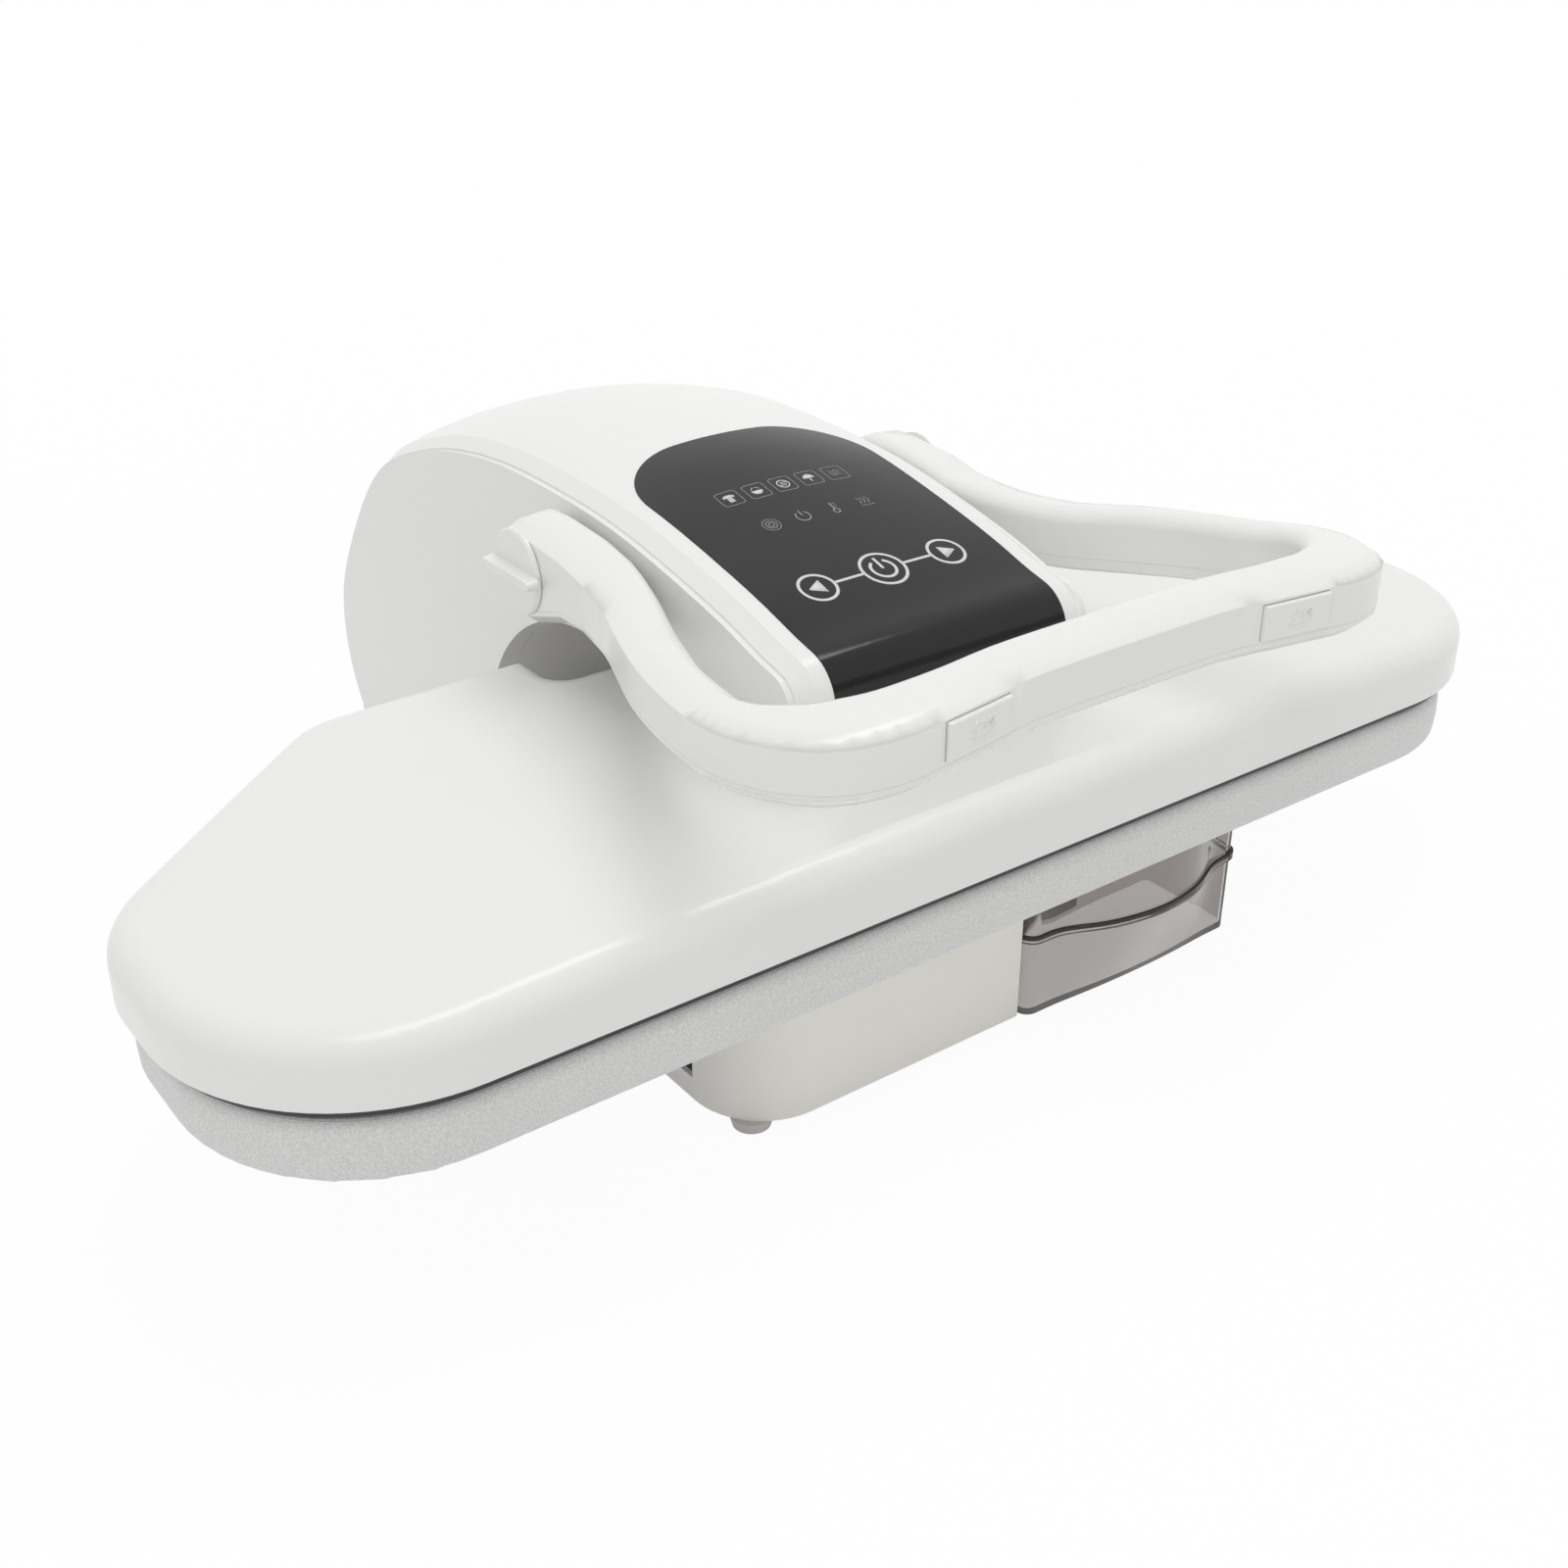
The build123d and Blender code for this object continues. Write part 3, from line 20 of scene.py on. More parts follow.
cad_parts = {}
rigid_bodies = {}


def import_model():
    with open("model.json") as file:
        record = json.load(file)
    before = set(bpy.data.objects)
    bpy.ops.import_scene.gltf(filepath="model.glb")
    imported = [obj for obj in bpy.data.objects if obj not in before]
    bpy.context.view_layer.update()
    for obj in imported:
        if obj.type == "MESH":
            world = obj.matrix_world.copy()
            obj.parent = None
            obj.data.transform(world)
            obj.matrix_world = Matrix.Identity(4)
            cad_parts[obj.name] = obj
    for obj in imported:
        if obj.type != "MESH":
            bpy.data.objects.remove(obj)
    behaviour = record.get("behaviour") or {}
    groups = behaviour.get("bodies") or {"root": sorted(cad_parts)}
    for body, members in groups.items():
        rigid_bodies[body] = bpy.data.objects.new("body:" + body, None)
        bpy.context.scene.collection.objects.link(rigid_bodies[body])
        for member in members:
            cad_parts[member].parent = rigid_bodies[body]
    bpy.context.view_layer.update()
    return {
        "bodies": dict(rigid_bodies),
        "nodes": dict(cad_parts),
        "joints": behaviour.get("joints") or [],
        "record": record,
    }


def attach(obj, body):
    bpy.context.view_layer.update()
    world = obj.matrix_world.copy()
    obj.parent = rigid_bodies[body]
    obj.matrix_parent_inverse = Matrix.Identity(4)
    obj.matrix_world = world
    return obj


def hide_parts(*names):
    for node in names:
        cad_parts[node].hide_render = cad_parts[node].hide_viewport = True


log = logging.getLogger("press")

MM = 0.001
Colour = tuple[float, float, float]
Point = tuple[float, float]
Place = tuple[float, float, float]
Shape = tuple[Point, ...]
Nodes = dict[str, bpy.types.Object]

WHITE: Colour = (1.0, 1.0, 1.0)

# Edges sharper than this, in degrees, stay crisp on hard and on soft pieces
CRISP_ANGLE = 35.0
SOFT_ANGLE = 60.0


class Body(Enum):
    """Rigid bodies of the press."""

    BASE = "base"
    HEAD = "press_head"
    HANDLE = "handle"
    TANK = "water_tank"
    BUTTON_LEFT = "steam_button_left"
    BUTTON_RIGHT = "steam_button_right"


class Side(Enum):
    """The two sides of the press, as the sign of X."""

    LEFT = -1
    RIGHT = 1


# Shader groups


@dataclass
class NodeSheet:
    """A node tree being drawn, with short calls to add and join nodes."""

    tree: bpy.types.NodeTree

    def add(self, kind: str, **settings: object) -> bpy.types.Node:
        """Add a node and set its properties.

        Args:
            kind: the node's type name without its ShaderNode prefix.
            settings: properties of the node and their values.

        Returns:
            The new node.
        """
        node = self.tree.nodes.new(f"ShaderNode{kind}")
        for name, value in settings.items():
            setattr(node, name, value)
        return node

    def feed(self, node: bpy.types.Node, **values: object) -> bpy.types.Node:
        """Set a node's inputs by name, with a value or with another node's output.

        Args:
            node: the node whose inputs are set.
            values: input names with underscores for spaces, and what goes in.

        Returns:
            The same node.
        """
        for name, value in values.items():
            socket = node.inputs[name.replace("_", " ")]
            if isinstance(value, bpy.types.NodeSocket):
                self.tree.links.new(value, socket)
            elif isinstance(value, tuple) and len(value) == 3 and socket.type == "RGBA":
                socket.default_value = (*value, 1)
            else:
                socket.default_value = value
        return node

    def maths(self, operation: str, first: object, second: object = 0.0) -> bpy.types.NodeSocket:
        """A sum of two values or outputs.

        Args:
            operation: the Math node's operation.
            first: value or output on its first input.
            second: value or output on its second input.

        Returns:
            The result's output.
        """
        node = self.add("Math", operation=operation)
        for socket, value in zip(node.inputs, (first, second)):
            if isinstance(value, bpy.types.NodeSocket):
                self.tree.links.new(value, socket)
            else:
                socket.default_value = value
        return node.outputs[0]

    def mix(self, factor: object, first: object, second: object) -> bpy.types.NodeSocket:
        """A mix of two colours.

        Args:
            factor: value or output that chooses between them.
            first: colour or output at factor 0.
            second: colour or output at factor 1.

        Returns:
            The mixed colour's output.
        """
        node = self.add("Mix", data_type="RGBA")
        for index, value in ((0, factor), (6, first), (7, second)):
            if isinstance(value, bpy.types.NodeSocket):
                self.tree.links.new(value, node.inputs[index])
            elif isinstance(value, tuple):
                node.inputs[index].default_value = (*value, 1)
            else:
                node.inputs[index].default_value = value
        return node.outputs[2]

    def place(self, scale: Place = (1, 1, 1)) -> bpy.types.NodeSocket:
        """Object coordinates, stretched along each axis.

        Args:
            scale: how much each axis is stretched.

        Returns:
            The coordinates' output.
        """
        coordinates = self.add("TexCoord")
        mapping = self.add("Mapping")
        return self.feed(mapping, Vector=coordinates.outputs["Object"], Scale=scale).outputs["Vector"]

    def noise(self, vector: object, scale: object, detail: float = 3.0) -> bpy.types.NodeSocket:
        """Smooth noise from 0 to 1.

        Args:
            vector: coordinates' output.
            scale: features to a metre.
            detail: octaves of finer noise.

        Returns:
            The noise's output.
        """
        node = self.add("TexNoise")
        return self.feed(node, Vector=vector, Scale=scale, Detail=detail).outputs["Fac"]

    def spread(self, value: object, low: float, high: float, to_low: float = 0.0,
               to_high: float = 1.0) -> bpy.types.NodeSocket:
        """A value carried from one range to another and held inside it.

        Args:
            value: the value's output.
            low: lowest value going in.
            high: highest value going in.
            to_low: what the lowest becomes.
            to_high: what the highest becomes.

        Returns:
            The new value's output.
        """
        node = self.add("MapRange")
        return self.feed(node, Value=value, From_Min=low, From_Max=high, To_Min=to_low,
                         To_Max=to_high).outputs["Result"]

    def uneven(self, value: object, amount: object) -> bpy.types.NodeSocket:
        """Noise about its middle, scaled by an amount.

        Args:
            value: the noise's output.
            amount: value or output that scales it.

        Returns:
            The result's output, zero on average.
        """
        return self.maths("MULTIPLY", self.maths("SUBTRACT", value, 0.5), amount)

    def facing_up(self) -> bpy.types.NodeSocket:
        """How far a surface looks up, from -1 to 1."""
        geometry = self.add("NewGeometry")
        parts = self.add("SeparateXYZ")
        self.tree.links.new(geometry.outputs["Normal"], parts.inputs[0])
        return parts.outputs["Z"]


GroupEnds = tuple[NodeSheet, bpy.types.Node, bpy.types.Node]


def new_group(name: str, inputs: dict[str, object], outputs: dict[str, str]) -> GroupEnds:
    """Start a shader node group with named inputs and outputs.

    Args:
        name: the group's name.
        inputs: input names and their default values.
        outputs: output names and their socket types.

    Returns:
        The sheet to draw on, the group's input node and its output node.
    """
    tree = bpy.data.node_groups.new(name, "ShaderNodeTree")
    for label, value in inputs.items():
        kind = "NodeSocketColor" if isinstance(value, tuple) else "NodeSocketFloat"
        socket = tree.interface.new_socket(name=label, in_out="INPUT", socket_type=kind)
        socket.default_value = (*value, 1) if isinstance(value, tuple) else value
    for label, kind in outputs.items():
        tree.interface.new_socket(name=label, in_out="OUTPUT", socket_type=kind)
    sheet = NodeSheet(tree)
    return sheet, tree.nodes.new("NodeGroupInput"), tree.nodes.new("NodeGroupOutput")


class Effect(Enum):
    """Shader groups that more than one finish uses."""

    GRAIN = "moulded_grain"
    WEAR = "edge_wear"
    DUST = "settled_dust"
    BRUSHED = "brushed_lines"
    WEAVE = "plain_weave"


def grain_group() -> None:
    """Fine moulded grain: a height, a roughness and a faint change of tone."""
    sheet, given, made = new_group(
        Effect.GRAIN.value,
        {"Colour": (0.8, 0.8, 0.8), "Roughness": 0.4, "Scale": 900.0, "Spread": 0.05, "Tone": 0.03},
        {"Colour": "NodeSocketColor", "Roughness": "NodeSocketFloat", "Height": "NodeSocketFloat"})
    patch_scale, octaves = 7.0, 2.0
    place = sheet.place()
    fine = sheet.noise(place, given.outputs["Scale"], octaves)
    broad = sheet.noise(place, patch_scale, octaves)
    tone = sheet.maths("ADD", sheet.uneven(broad, given.outputs["Tone"]), 1.0)
    scaled = sheet.add("VectorMath", operation="SCALE")
    sheet.tree.links.new(given.outputs["Colour"], scaled.inputs[0])
    sheet.tree.links.new(tone, scaled.inputs["Scale"])
    rough = sheet.maths("ADD", given.outputs["Roughness"], sheet.uneven(broad, given.outputs["Spread"]))
    sheet.tree.links.new(scaled.outputs[0], made.inputs["Colour"])
    sheet.tree.links.new(rough, made.inputs["Roughness"])
    sheet.tree.links.new(fine, made.inputs["Height"])


def wear_group() -> None:
    """Edges rubbed to another tone."""
    sheet, given, made = new_group(
        Effect.WEAR.value, {"Colour": (0.8, 0.8, 0.8), "Worn Colour": (0.9, 0.9, 0.9), "Amount": 0.3},
        {"Colour": "NodeSocketColor", "Mask": "NodeSocketFloat"})
    edge_from, edge_to = 0.52, 0.62
    rub_scale, rub_from, rub_to, least_rub = 60.0, 0.35, 0.7, 0.2
    geometry = sheet.add("NewGeometry")
    edge = sheet.spread(geometry.outputs["Pointiness"], edge_from, edge_to)
    broken = sheet.spread(sheet.noise(sheet.place(), rub_scale), rub_from, rub_to, least_rub)
    mask = sheet.maths("MULTIPLY", sheet.maths("MULTIPLY", edge, broken), given.outputs["Amount"])
    rubbed = sheet.mix(mask, given.outputs["Colour"], given.outputs["Worn Colour"])
    sheet.tree.links.new(rubbed, made.inputs["Colour"])
    sheet.tree.links.new(mask, made.inputs["Mask"])


def dust_group() -> None:
    """A little dust on faces that look up."""
    sheet, given, made = new_group(
        Effect.DUST.value, {"Colour": (0.8, 0.8, 0.8), "Amount": 0.1}, {"Colour": "NodeSocketColor"})
    dust: Colour = (0.72, 0.70, 0.66)
    level_from, patch_scale, patch_from, patch_to, least_dust = 0.3, 25.0, 0.4, 0.8, 0.1
    upward = sheet.spread(sheet.facing_up(), level_from, 1.0)
    patchy = sheet.spread(sheet.noise(sheet.place(), patch_scale), patch_from, patch_to, least_dust)
    mask = sheet.maths("MULTIPLY", sheet.maths("MULTIPLY", upward, patchy), given.outputs["Amount"])
    sheet.tree.links.new(sheet.mix(mask, given.outputs["Colour"], dust), made.inputs["Colour"])


def brushed_group() -> None:
    """Fine lines along X, as on rolled or brushed metal."""
    sheet, given, made = new_group(
        Effect.BRUSHED.value, {"Roughness": 0.35, "Spread": 0.2},
        {"Roughness": "NodeSocketFloat", "Height": "NodeSocketFloat"})
    along, across, octaves = 12, 700, 4.0
    lines = sheet.noise(sheet.place((along, across, across)), 1.0, octaves)
    rough = sheet.maths("ADD", given.outputs["Roughness"], sheet.uneven(lines, given.outputs["Spread"]))
    sheet.tree.links.new(rough, made.inputs["Roughness"])
    sheet.tree.links.new(lines, made.inputs["Height"])


def weave_group() -> None:
    """Plain weave of warp and weft threads, with a speckle between them."""
    sheet, given, made = new_group(
        Effect.WEAVE.value, {"Scale": 900.0, "Speckle Scale": 1500.0},
        {"Height": "NodeSocketFloat", "Speckle": "NodeSocketFloat"})
    slack, octaves = 0.6, 2.0
    place = sheet.place()
    threads = []
    for direction in ("X", "Y", "Z"):
        wave = sheet.add("TexWave", wave_type="BANDS", bands_direction=direction)
        sheet.feed(wave, Vector=place, Scale=given.outputs["Scale"], Distortion=slack, Detail=1.0)
        threads.append(wave.outputs["Fac"])
    woven = sheet.maths("MAXIMUM", sheet.maths("MULTIPLY", threads[0], threads[1]), threads[2])
    speckle = sheet.noise(place, given.outputs["Speckle Scale"], octaves)
    sheet.tree.links.new(sheet.maths("ADD", woven, speckle), made.inputs["Height"])
    sheet.tree.links.new(speckle, made.inputs["Speckle"])


def build_groups() -> None:
    """Build each shader group once."""
    for build in (grain_group, wear_group, dust_group, brushed_group, weave_group):
        build()


# Finishes


@dataclass(frozen=True)
class Finish:
    """A surface finish, made into a material the first time it is asked for."""

    name: str
    colour: Colour
    roughness: float = 0.4

    def material(self) -> bpy.types.Material:
        """Make or find the finish's material.

        Returns:
            The material.
        """
        found = bpy.data.materials.get(self.name)
        if found:
            return found
        material = bpy.data.materials.new(self.name)
        material.use_nodes = True
        material.diffuse_color = (*self.colour, 1)
        sheet = NodeSheet(material.node_tree)
        shader = material.node_tree.nodes["Principled BSDF"]
        sheet.feed(shader, Roughness=self.roughness)
        sheet.feed(shader, Base_Color=self.colour)
        self.draw(sheet, shader)
        return material

    def draw(self, sheet: NodeSheet, shader: bpy.types.Node) -> None:
        """Add the finish's own nodes; a plain finish has none.

        Args:
            sheet: the material's sheet.
            shader: the Principled shader.
        """

    def shade(self, share: float) -> Colour:
        """The finish's colour, lighter or darker.

        Args:
            share: 1 keeps it as it is.

        Returns:
            The changed colour.
        """
        return tuple(min(1.0, part * share) for part in self.colour)

    def group(self, sheet: NodeSheet, effect: Effect, **values: object) -> bpy.types.Node:
        """Place a shader group in the material with its own values.

        Args:
            sheet: the material's sheet.
            effect: which group.
            values: its inputs.

        Returns:
            The group node.
        """
        node = sheet.add("Group", node_tree=bpy.data.node_groups[effect.value])
        return sheet.feed(node, **values)

    def bump(self, sheet: NodeSheet, shader: bpy.types.Node, height: object, strength: float,
             depth: float) -> None:
        """Join a height to the shader's normal.

        Args:
            sheet: the material's sheet.
            shader: the Principled shader.
            height: the height's output.
            strength: how strongly it shows.
            depth: how deep it is, in metres.
        """
        node = sheet.add("Bump")
        sheet.feed(node, Strength=strength, Distance=depth, Height=height)
        sheet.feed(shader, Normal=node.outputs["Normal"])


@dataclass(frozen=True)
class MouldedPlastic(Finish):
    """Moulded plastic with a fine grain and rubbed edges."""

    grain_scale: float = 1400.0
    grain: float = 0.03
    grain_depth: float = 0.4 * MM
    coat: float = 0.0
    coat_roughness: float = 0.08
    spread: float = 0.06
    tone: float = 0.02
    wear: float = 0.15
    worn_share: float = 1.12
    dust: float = 0.0
    specular: float = 0.5

    def draw(self, sheet: NodeSheet, shader: bpy.types.Node) -> None:
        """Grain, edge wear and dust.

        Args:
            sheet: the material's sheet.
            shader: the Principled shader.
        """
        worn = self.group(sheet, Effect.WEAR, Colour=self.colour, Worn_Colour=self.shade(self.worn_share),
                          Amount=self.wear)
        dusty = self.group(sheet, Effect.DUST, Colour=worn.outputs["Colour"], Amount=self.dust)
        skin = self.group(sheet, Effect.GRAIN, Colour=dusty.outputs["Colour"], Roughness=self.roughness,
                          Scale=self.grain_scale, Spread=self.spread, Tone=self.tone)
        sheet.feed(shader, Base_Color=skin.outputs["Colour"], Roughness=skin.outputs["Roughness"],
                   Coat_Weight=self.coat, Coat_Roughness=self.coat_roughness,
                   Specular_IOR_Level=self.specular)
        self.bump(sheet, shader, skin.outputs["Height"], self.grain, self.grain_depth)


@dataclass(frozen=True)
class ClearPlastic(Finish):
    """Smoky see-through plastic whose ledges, the faces that look up or down, are painted paler as painted
    light against the dark that light through its walls leaves there.
    """

    tint: float = 0.9
    clear: Colour = (0.97, 0.97, 0.97)
    ior: float = 1.25
    # How far faces look up or down where the painted paling starts and where it is full
    ledge_from: float = 0.25
    ledge_to: float = 0.7
    flow_scale: float = 90.0
    flow_spread: float = 0.04
    flow_tone: float = 0.05
    flow: float = 0.05
    flow_depth: float = 0.6 * MM

    def draw(self, sheet: NodeSheet, shader: bpy.types.Node) -> None:
        """Transmission with faint flow lines in the moulding, and painted light on the ledges.

        Args:
            sheet: the material's sheet.
            shader: the Principled shader.
        """
        # Painted light: faces that look up or down are painted paler than the smoky tint, lifting the dark
        # that light through many walls gives there
        ledge = sheet.spread(sheet.maths("ABSOLUTE", sheet.facing_up()), self.ledge_from, self.ledge_to)
        tinted = sheet.mix(ledge, self.colour, self.clear)
        skin = self.group(sheet, Effect.GRAIN, Colour=tinted, Roughness=self.roughness, Scale=self.flow_scale,
                          Spread=self.flow_spread, Tone=self.flow_tone)
        sheet.feed(shader, Base_Color=skin.outputs["Colour"], Roughness=skin.outputs["Roughness"],
                   IOR=self.ior, Transmission_Weight=self.tint)
        self.bump(sheet, shader, skin.outputs["Height"], self.flow, self.flow_depth)


@dataclass(frozen=True)
class Metal(Finish):
    """Bare or plated metal with brushed or rolled lines."""

    spread: float = 0.2
    lines: float = 0.05
    line_depth: float = 0.3 * MM
    metallic: float = 1.0
    wear: float = 0.3
    worn_share: float = 1.3

    def draw(self, sheet: NodeSheet, shader: bpy.types.Node) -> None:
        """Lines and edge wear.

        Args:
            sheet: the material's sheet.
            shader: the Principled shader.
        """
        worn = self.group(sheet, Effect.WEAR, Colour=self.colour, Worn_Colour=self.shade(self.worn_share),
                          Amount=self.wear)
        lines = self.group(sheet, Effect.BRUSHED, Roughness=self.roughness, Spread=self.spread)
        sheet.feed(shader, Base_Color=worn.outputs["Colour"], Roughness=lines.outputs["Roughness"],
                   Metallic=self.metallic)
        self.bump(sheet, shader, lines.outputs["Height"], self.lines, self.line_depth)


@dataclass(frozen=True)
class CoatedCloth(Finish):
    """Heat-reflecting cloth: metal-coated threads in a plain weave, with a fine speckle."""

    metallic: float = 0.25
    weave_scale: float = 520.0
    weave: float = 0.25
    weave_depth: float = 0.3 * MM
    speckle_scale: float = 1300.0
    speckle_range: Point = (0.35, 0.65)
    dark_share: float = 0.86
    light_share: float = 1.1
    rough_range: Point = (0.3, 0.7)
    rough_spread: float = 0.1
    dust: float = 0.05

    def draw(self, sheet: NodeSheet, shader: bpy.types.Node) -> None:
        """Weave, speckle and soft patches.

        Args:
            sheet: the material's sheet.
            shader: the Principled shader.
        """
        woven = self.group(sheet, Effect.WEAVE, Scale=self.weave_scale, Speckle_Scale=self.speckle_scale)
        speckle = woven.outputs["Speckle"]
        light = sheet.spread(speckle, *self.speckle_range)
        speckled = sheet.mix(light, self.shade(self.dark_share), self.shade(self.light_share))
        dusty = self.group(sheet, Effect.DUST, Colour=speckled, Amount=self.dust)
        rough = sheet.spread(speckle, *self.rough_range, self.roughness - self.rough_spread,
                             self.roughness + self.rough_spread)
        sheet.feed(shader, Base_Color=dusty.outputs["Colour"], Roughness=rough, Metallic=self.metallic)
        self.bump(sheet, shader, woven.outputs["Height"], self.weave, self.weave_depth)


@dataclass(frozen=True)
class Foam(Finish):
    """Open-cell foam."""

    cell_scale: float = 700.0
    cell_range: Point = (0.1, 0.6)
    # Share of the colour left in the painted shade at the hollow middle of each cell
    dark_share: float = 0.6
    cell: float = 0.6
    cell_depth: float = 0.6 * MM

    def draw(self, sheet: NodeSheet, shader: bpy.types.Node) -> None:
        """Round cells in height, with painted shade darkening the hollow middle of each cell.

        Args:
            sheet: the material's sheet.
            shader: the Principled shader.
        """
        cells = sheet.add("TexVoronoi")
        sheet.feed(cells, Vector=sheet.place(), Scale=self.cell_scale)
        # Painted shade: each cell is darker towards its hollow middle, where the bump below sinks it
        wall = sheet.spread(cells.outputs["Distance"], *self.cell_range)
        sheet.feed(shader, Base_Color=sheet.mix(wall, self.shade(self.dark_share), self.colour))
        self.bump(sheet, shader, cells.outputs["Distance"], self.cell, self.cell_depth)


@dataclass(frozen=True)
class CircuitCard(Finish):
    """Green circuit card with copper traces under its resist."""

    cell_scale: float = 260.0
    trace_range: Point = (0.45, 0.5)
    copper_share: float = 1.7
    trace: float = 0.3
    trace_depth: float = 0.1 * MM

    def draw(self, sheet: NodeSheet, shader: bpy.types.Node) -> None:
        """Traces as lines between square cells.

        Args:
            sheet: the material's sheet.
            shader: the Principled shader.
        """
        cells = sheet.add("TexVoronoi", distance="MANHATTAN", feature="F1")
        sheet.feed(cells, Vector=sheet.place(), Scale=self.cell_scale)
        traces = sheet.spread(cells.outputs["Distance"], *self.trace_range)
        sheet.feed(shader, Base_Color=sheet.mix(traces, self.colour, self.shade(self.copper_share)))
        self.bump(sheet, shader, traces, self.trace, self.trace_depth)


SHELL_WHITE = MouldedPlastic("shell_white", (0.80, 0.80, 0.78), 0.3, coat=0.8, grain=0.008)
BASE_GREY = MouldedPlastic("base_warm_grey", (0.93, 0.91, 0.86), 0.5, grain=0.12,
                           grain_scale=2600.0, dust=0.05)
PANEL_BLACK = MouldedPlastic("panel_black", (0.006, 0.006, 0.0065), 0.13, grain=0.004, spread=0.03, wear=0.0,
                             specular=0.34)
PANEL_INK = MouldedPlastic("panel_ink", (0.72, 0.72, 0.72), 0.4, grain=0.05, wear=0.0)
PANEL_INK_DIM = MouldedPlastic("panel_ink_dim", (0.30, 0.30, 0.30), 0.4, grain=0.05, wear=0.0)
DARK_PLASTIC = MouldedPlastic("dark_plastic", (0.07, 0.07, 0.072), 0.5, grain=0.15, dust=0.15)
LINER_PLASTIC = MouldedPlastic("liner_plastic", (0.10, 0.095, 0.09), 0.55, grain=0.2, dust=0.1)
NYLON = MouldedPlastic("nylon", (0.78, 0.76, 0.69), 0.35, grain=0.05)
PUMP_PAINT = MouldedPlastic("pump_paint", (0.10, 0.10, 0.11), 0.35, grain=0.2, wear=0.5, dust=0.1)
FOOT_RUBBER = MouldedPlastic("foot_rubber", (0.62, 0.60, 0.57), 0.6, grain=0.2, grain_scale=1200.0, wear=0.1)
BLACK_RUBBER = MouldedPlastic("black_rubber", (0.025, 0.025, 0.025), 0.65, grain=0.3, grain_scale=1000.0,
                              dust=0.2)
SILICONE = MouldedPlastic("silicone", (0.72, 0.70, 0.66), 0.4, grain=0.1)
TANK_SMOKE = ClearPlastic("tank_smoke", (0.52, 0.495, 0.48), 0.03)
STEEL = Metal("plated_steel", (0.52, 0.52, 0.53), 0.35)
SPRING_STEEL = Metal("spring_steel", (0.22, 0.22, 0.23), 0.3)
PLATE_METAL = Metal("coated_plate", (0.045, 0.045, 0.047), 0.38, metallic=0.4)
CAST_METAL = Metal("cast_metal", (0.62, 0.62, 0.63), 0.5, lines=0.15)
BRASS = Metal("turned_brass", (0.63, 0.45, 0.18), 0.28)
SILVER_CLOTH = CoatedCloth("silver_cloth", (0.72, 0.72, 0.715), 0.58)
PAD_FOAM = Foam("pad_foam", (0.72, 0.66, 0.52), 0.9)
CARD_GREEN = CircuitCard("circuit_card", (0.015, 0.12, 0.05), 0.35)

SLOT_FINISH: dict[str, Finish] = {
    "shell_white": SHELL_WHITE, "base_plastic": BASE_GREY, "inner_plastic": DARK_PLASTIC,
    "panel_glass": PANEL_BLACK, "tank_plastic": TANK_SMOKE, "cloth": SILVER_CLOTH, "foam": PAD_FOAM,
    "rubber": FOOT_RUBBER, "dark_rubber": BLACK_RUBBER, "silicone": SILICONE, "steel": STEEL,
    "spring_steel": SPRING_STEEL, "plate_metal": PLATE_METAL, "cast_metal": CAST_METAL, "brass": BRASS,
    "card": CARD_GREEN, "nylon": NYLON, "pump_body": PUMP_PAINT,
}


# Shared mesh work


def dress(piece: bpy.types.Object, finish: Finish) -> None:
    """Give a piece one finish.

    Args:
        piece: the object.
        finish: its finish.
    """
    piece.data.materials.clear()
    piece.data.materials.append(finish.material())


def new_piece(name: str, mesh: bmesh.types.BMesh, finish: Finish, body: Body,
              smooth_angle: float = CRISP_ANGLE) -> bpy.types.Object:
    """Turn a bmesh into a finished piece that rides on a body.

    Args:
        name: the piece's name.
        mesh: the bmesh, which is freed.
        finish: its finish.
        body: the body that carries it.
        smooth_angle: edges sharper than this, in degrees, stay crisp.

    Returns:
        The new object.
    """
    data = bpy.data.meshes.new(name)
    mesh.to_mesh(data)
    mesh.free()
    piece = bpy.data.objects.new(name, data)
    bpy.context.scene.collection.objects.link(piece)
    data.shade_smooth()
    data.set_sharp_from_angle(angle=math.radians(smooth_angle))
    dress(piece, finish)
    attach(piece, body.value)
    return piece


def arc(centre: Point, radius: float, start: float, end: float, steps: int) -> list[Point]:
    """Points along an arc.

    Args:
        centre: its centre.
        radius: its radius.
        start: first angle, in degrees.
        end: last angle, in degrees.
        steps: how many runs it is cut into.

    Returns:
        The points, both ends included.
    """
    points = []
    for step in range(steps + 1):
        angle = math.radians(start + (end - start) * step / steps)
        points.append((centre[0] + radius * math.cos(angle), centre[1] + radius * math.sin(angle)))
    return points


def rounded(corners: Sequence[Point], radii: Sequence[float], steps: int) -> list[Point]:
    """A closed outline with its corners rounded.

    Args:
        corners: the sharp corners, in order.
        radii: a radius for each corner.
        steps: runs in each corner's arc.

    Returns:
        The outline's points.
    """
    points: list[Point] = []
    count = len(corners)
    for index, radius in enumerate(radii):
        here = Vector(corners[index])
        before = (Vector(corners[index - 1]) - here).normalized()
        after = (Vector(corners[(index + 1) % count]) - here).normalized()
        half = before.angle(after) / 2
        middle = (before + after).normalized()
        centre = here + middle * radius / math.sin(half)
        first = here + before * radius / math.tan(half) - centre
        last = here + after * radius / math.tan(half) - centre
        start = math.atan2(first.y, first.x)
        turn = math.remainder(math.atan2(last.y, last.x) - start, math.tau)
        points.extend(arc(tuple(centre), radius, math.degrees(start), math.degrees(start + turn), steps))
    return points


def flat_loop(mesh: bmesh.types.BMesh, outline: Iterable[Point], height: float) -> bmesh.types.BMFace:
    """A flat face on an outline.

    Args:
        mesh: the bmesh it goes in.
        outline: its points in plan.
        height: its level.

    Returns:
        The face.
    """
    return mesh.faces.new([mesh.verts.new((x, y, height)) for x, y in outline])


# Camera, light and floor


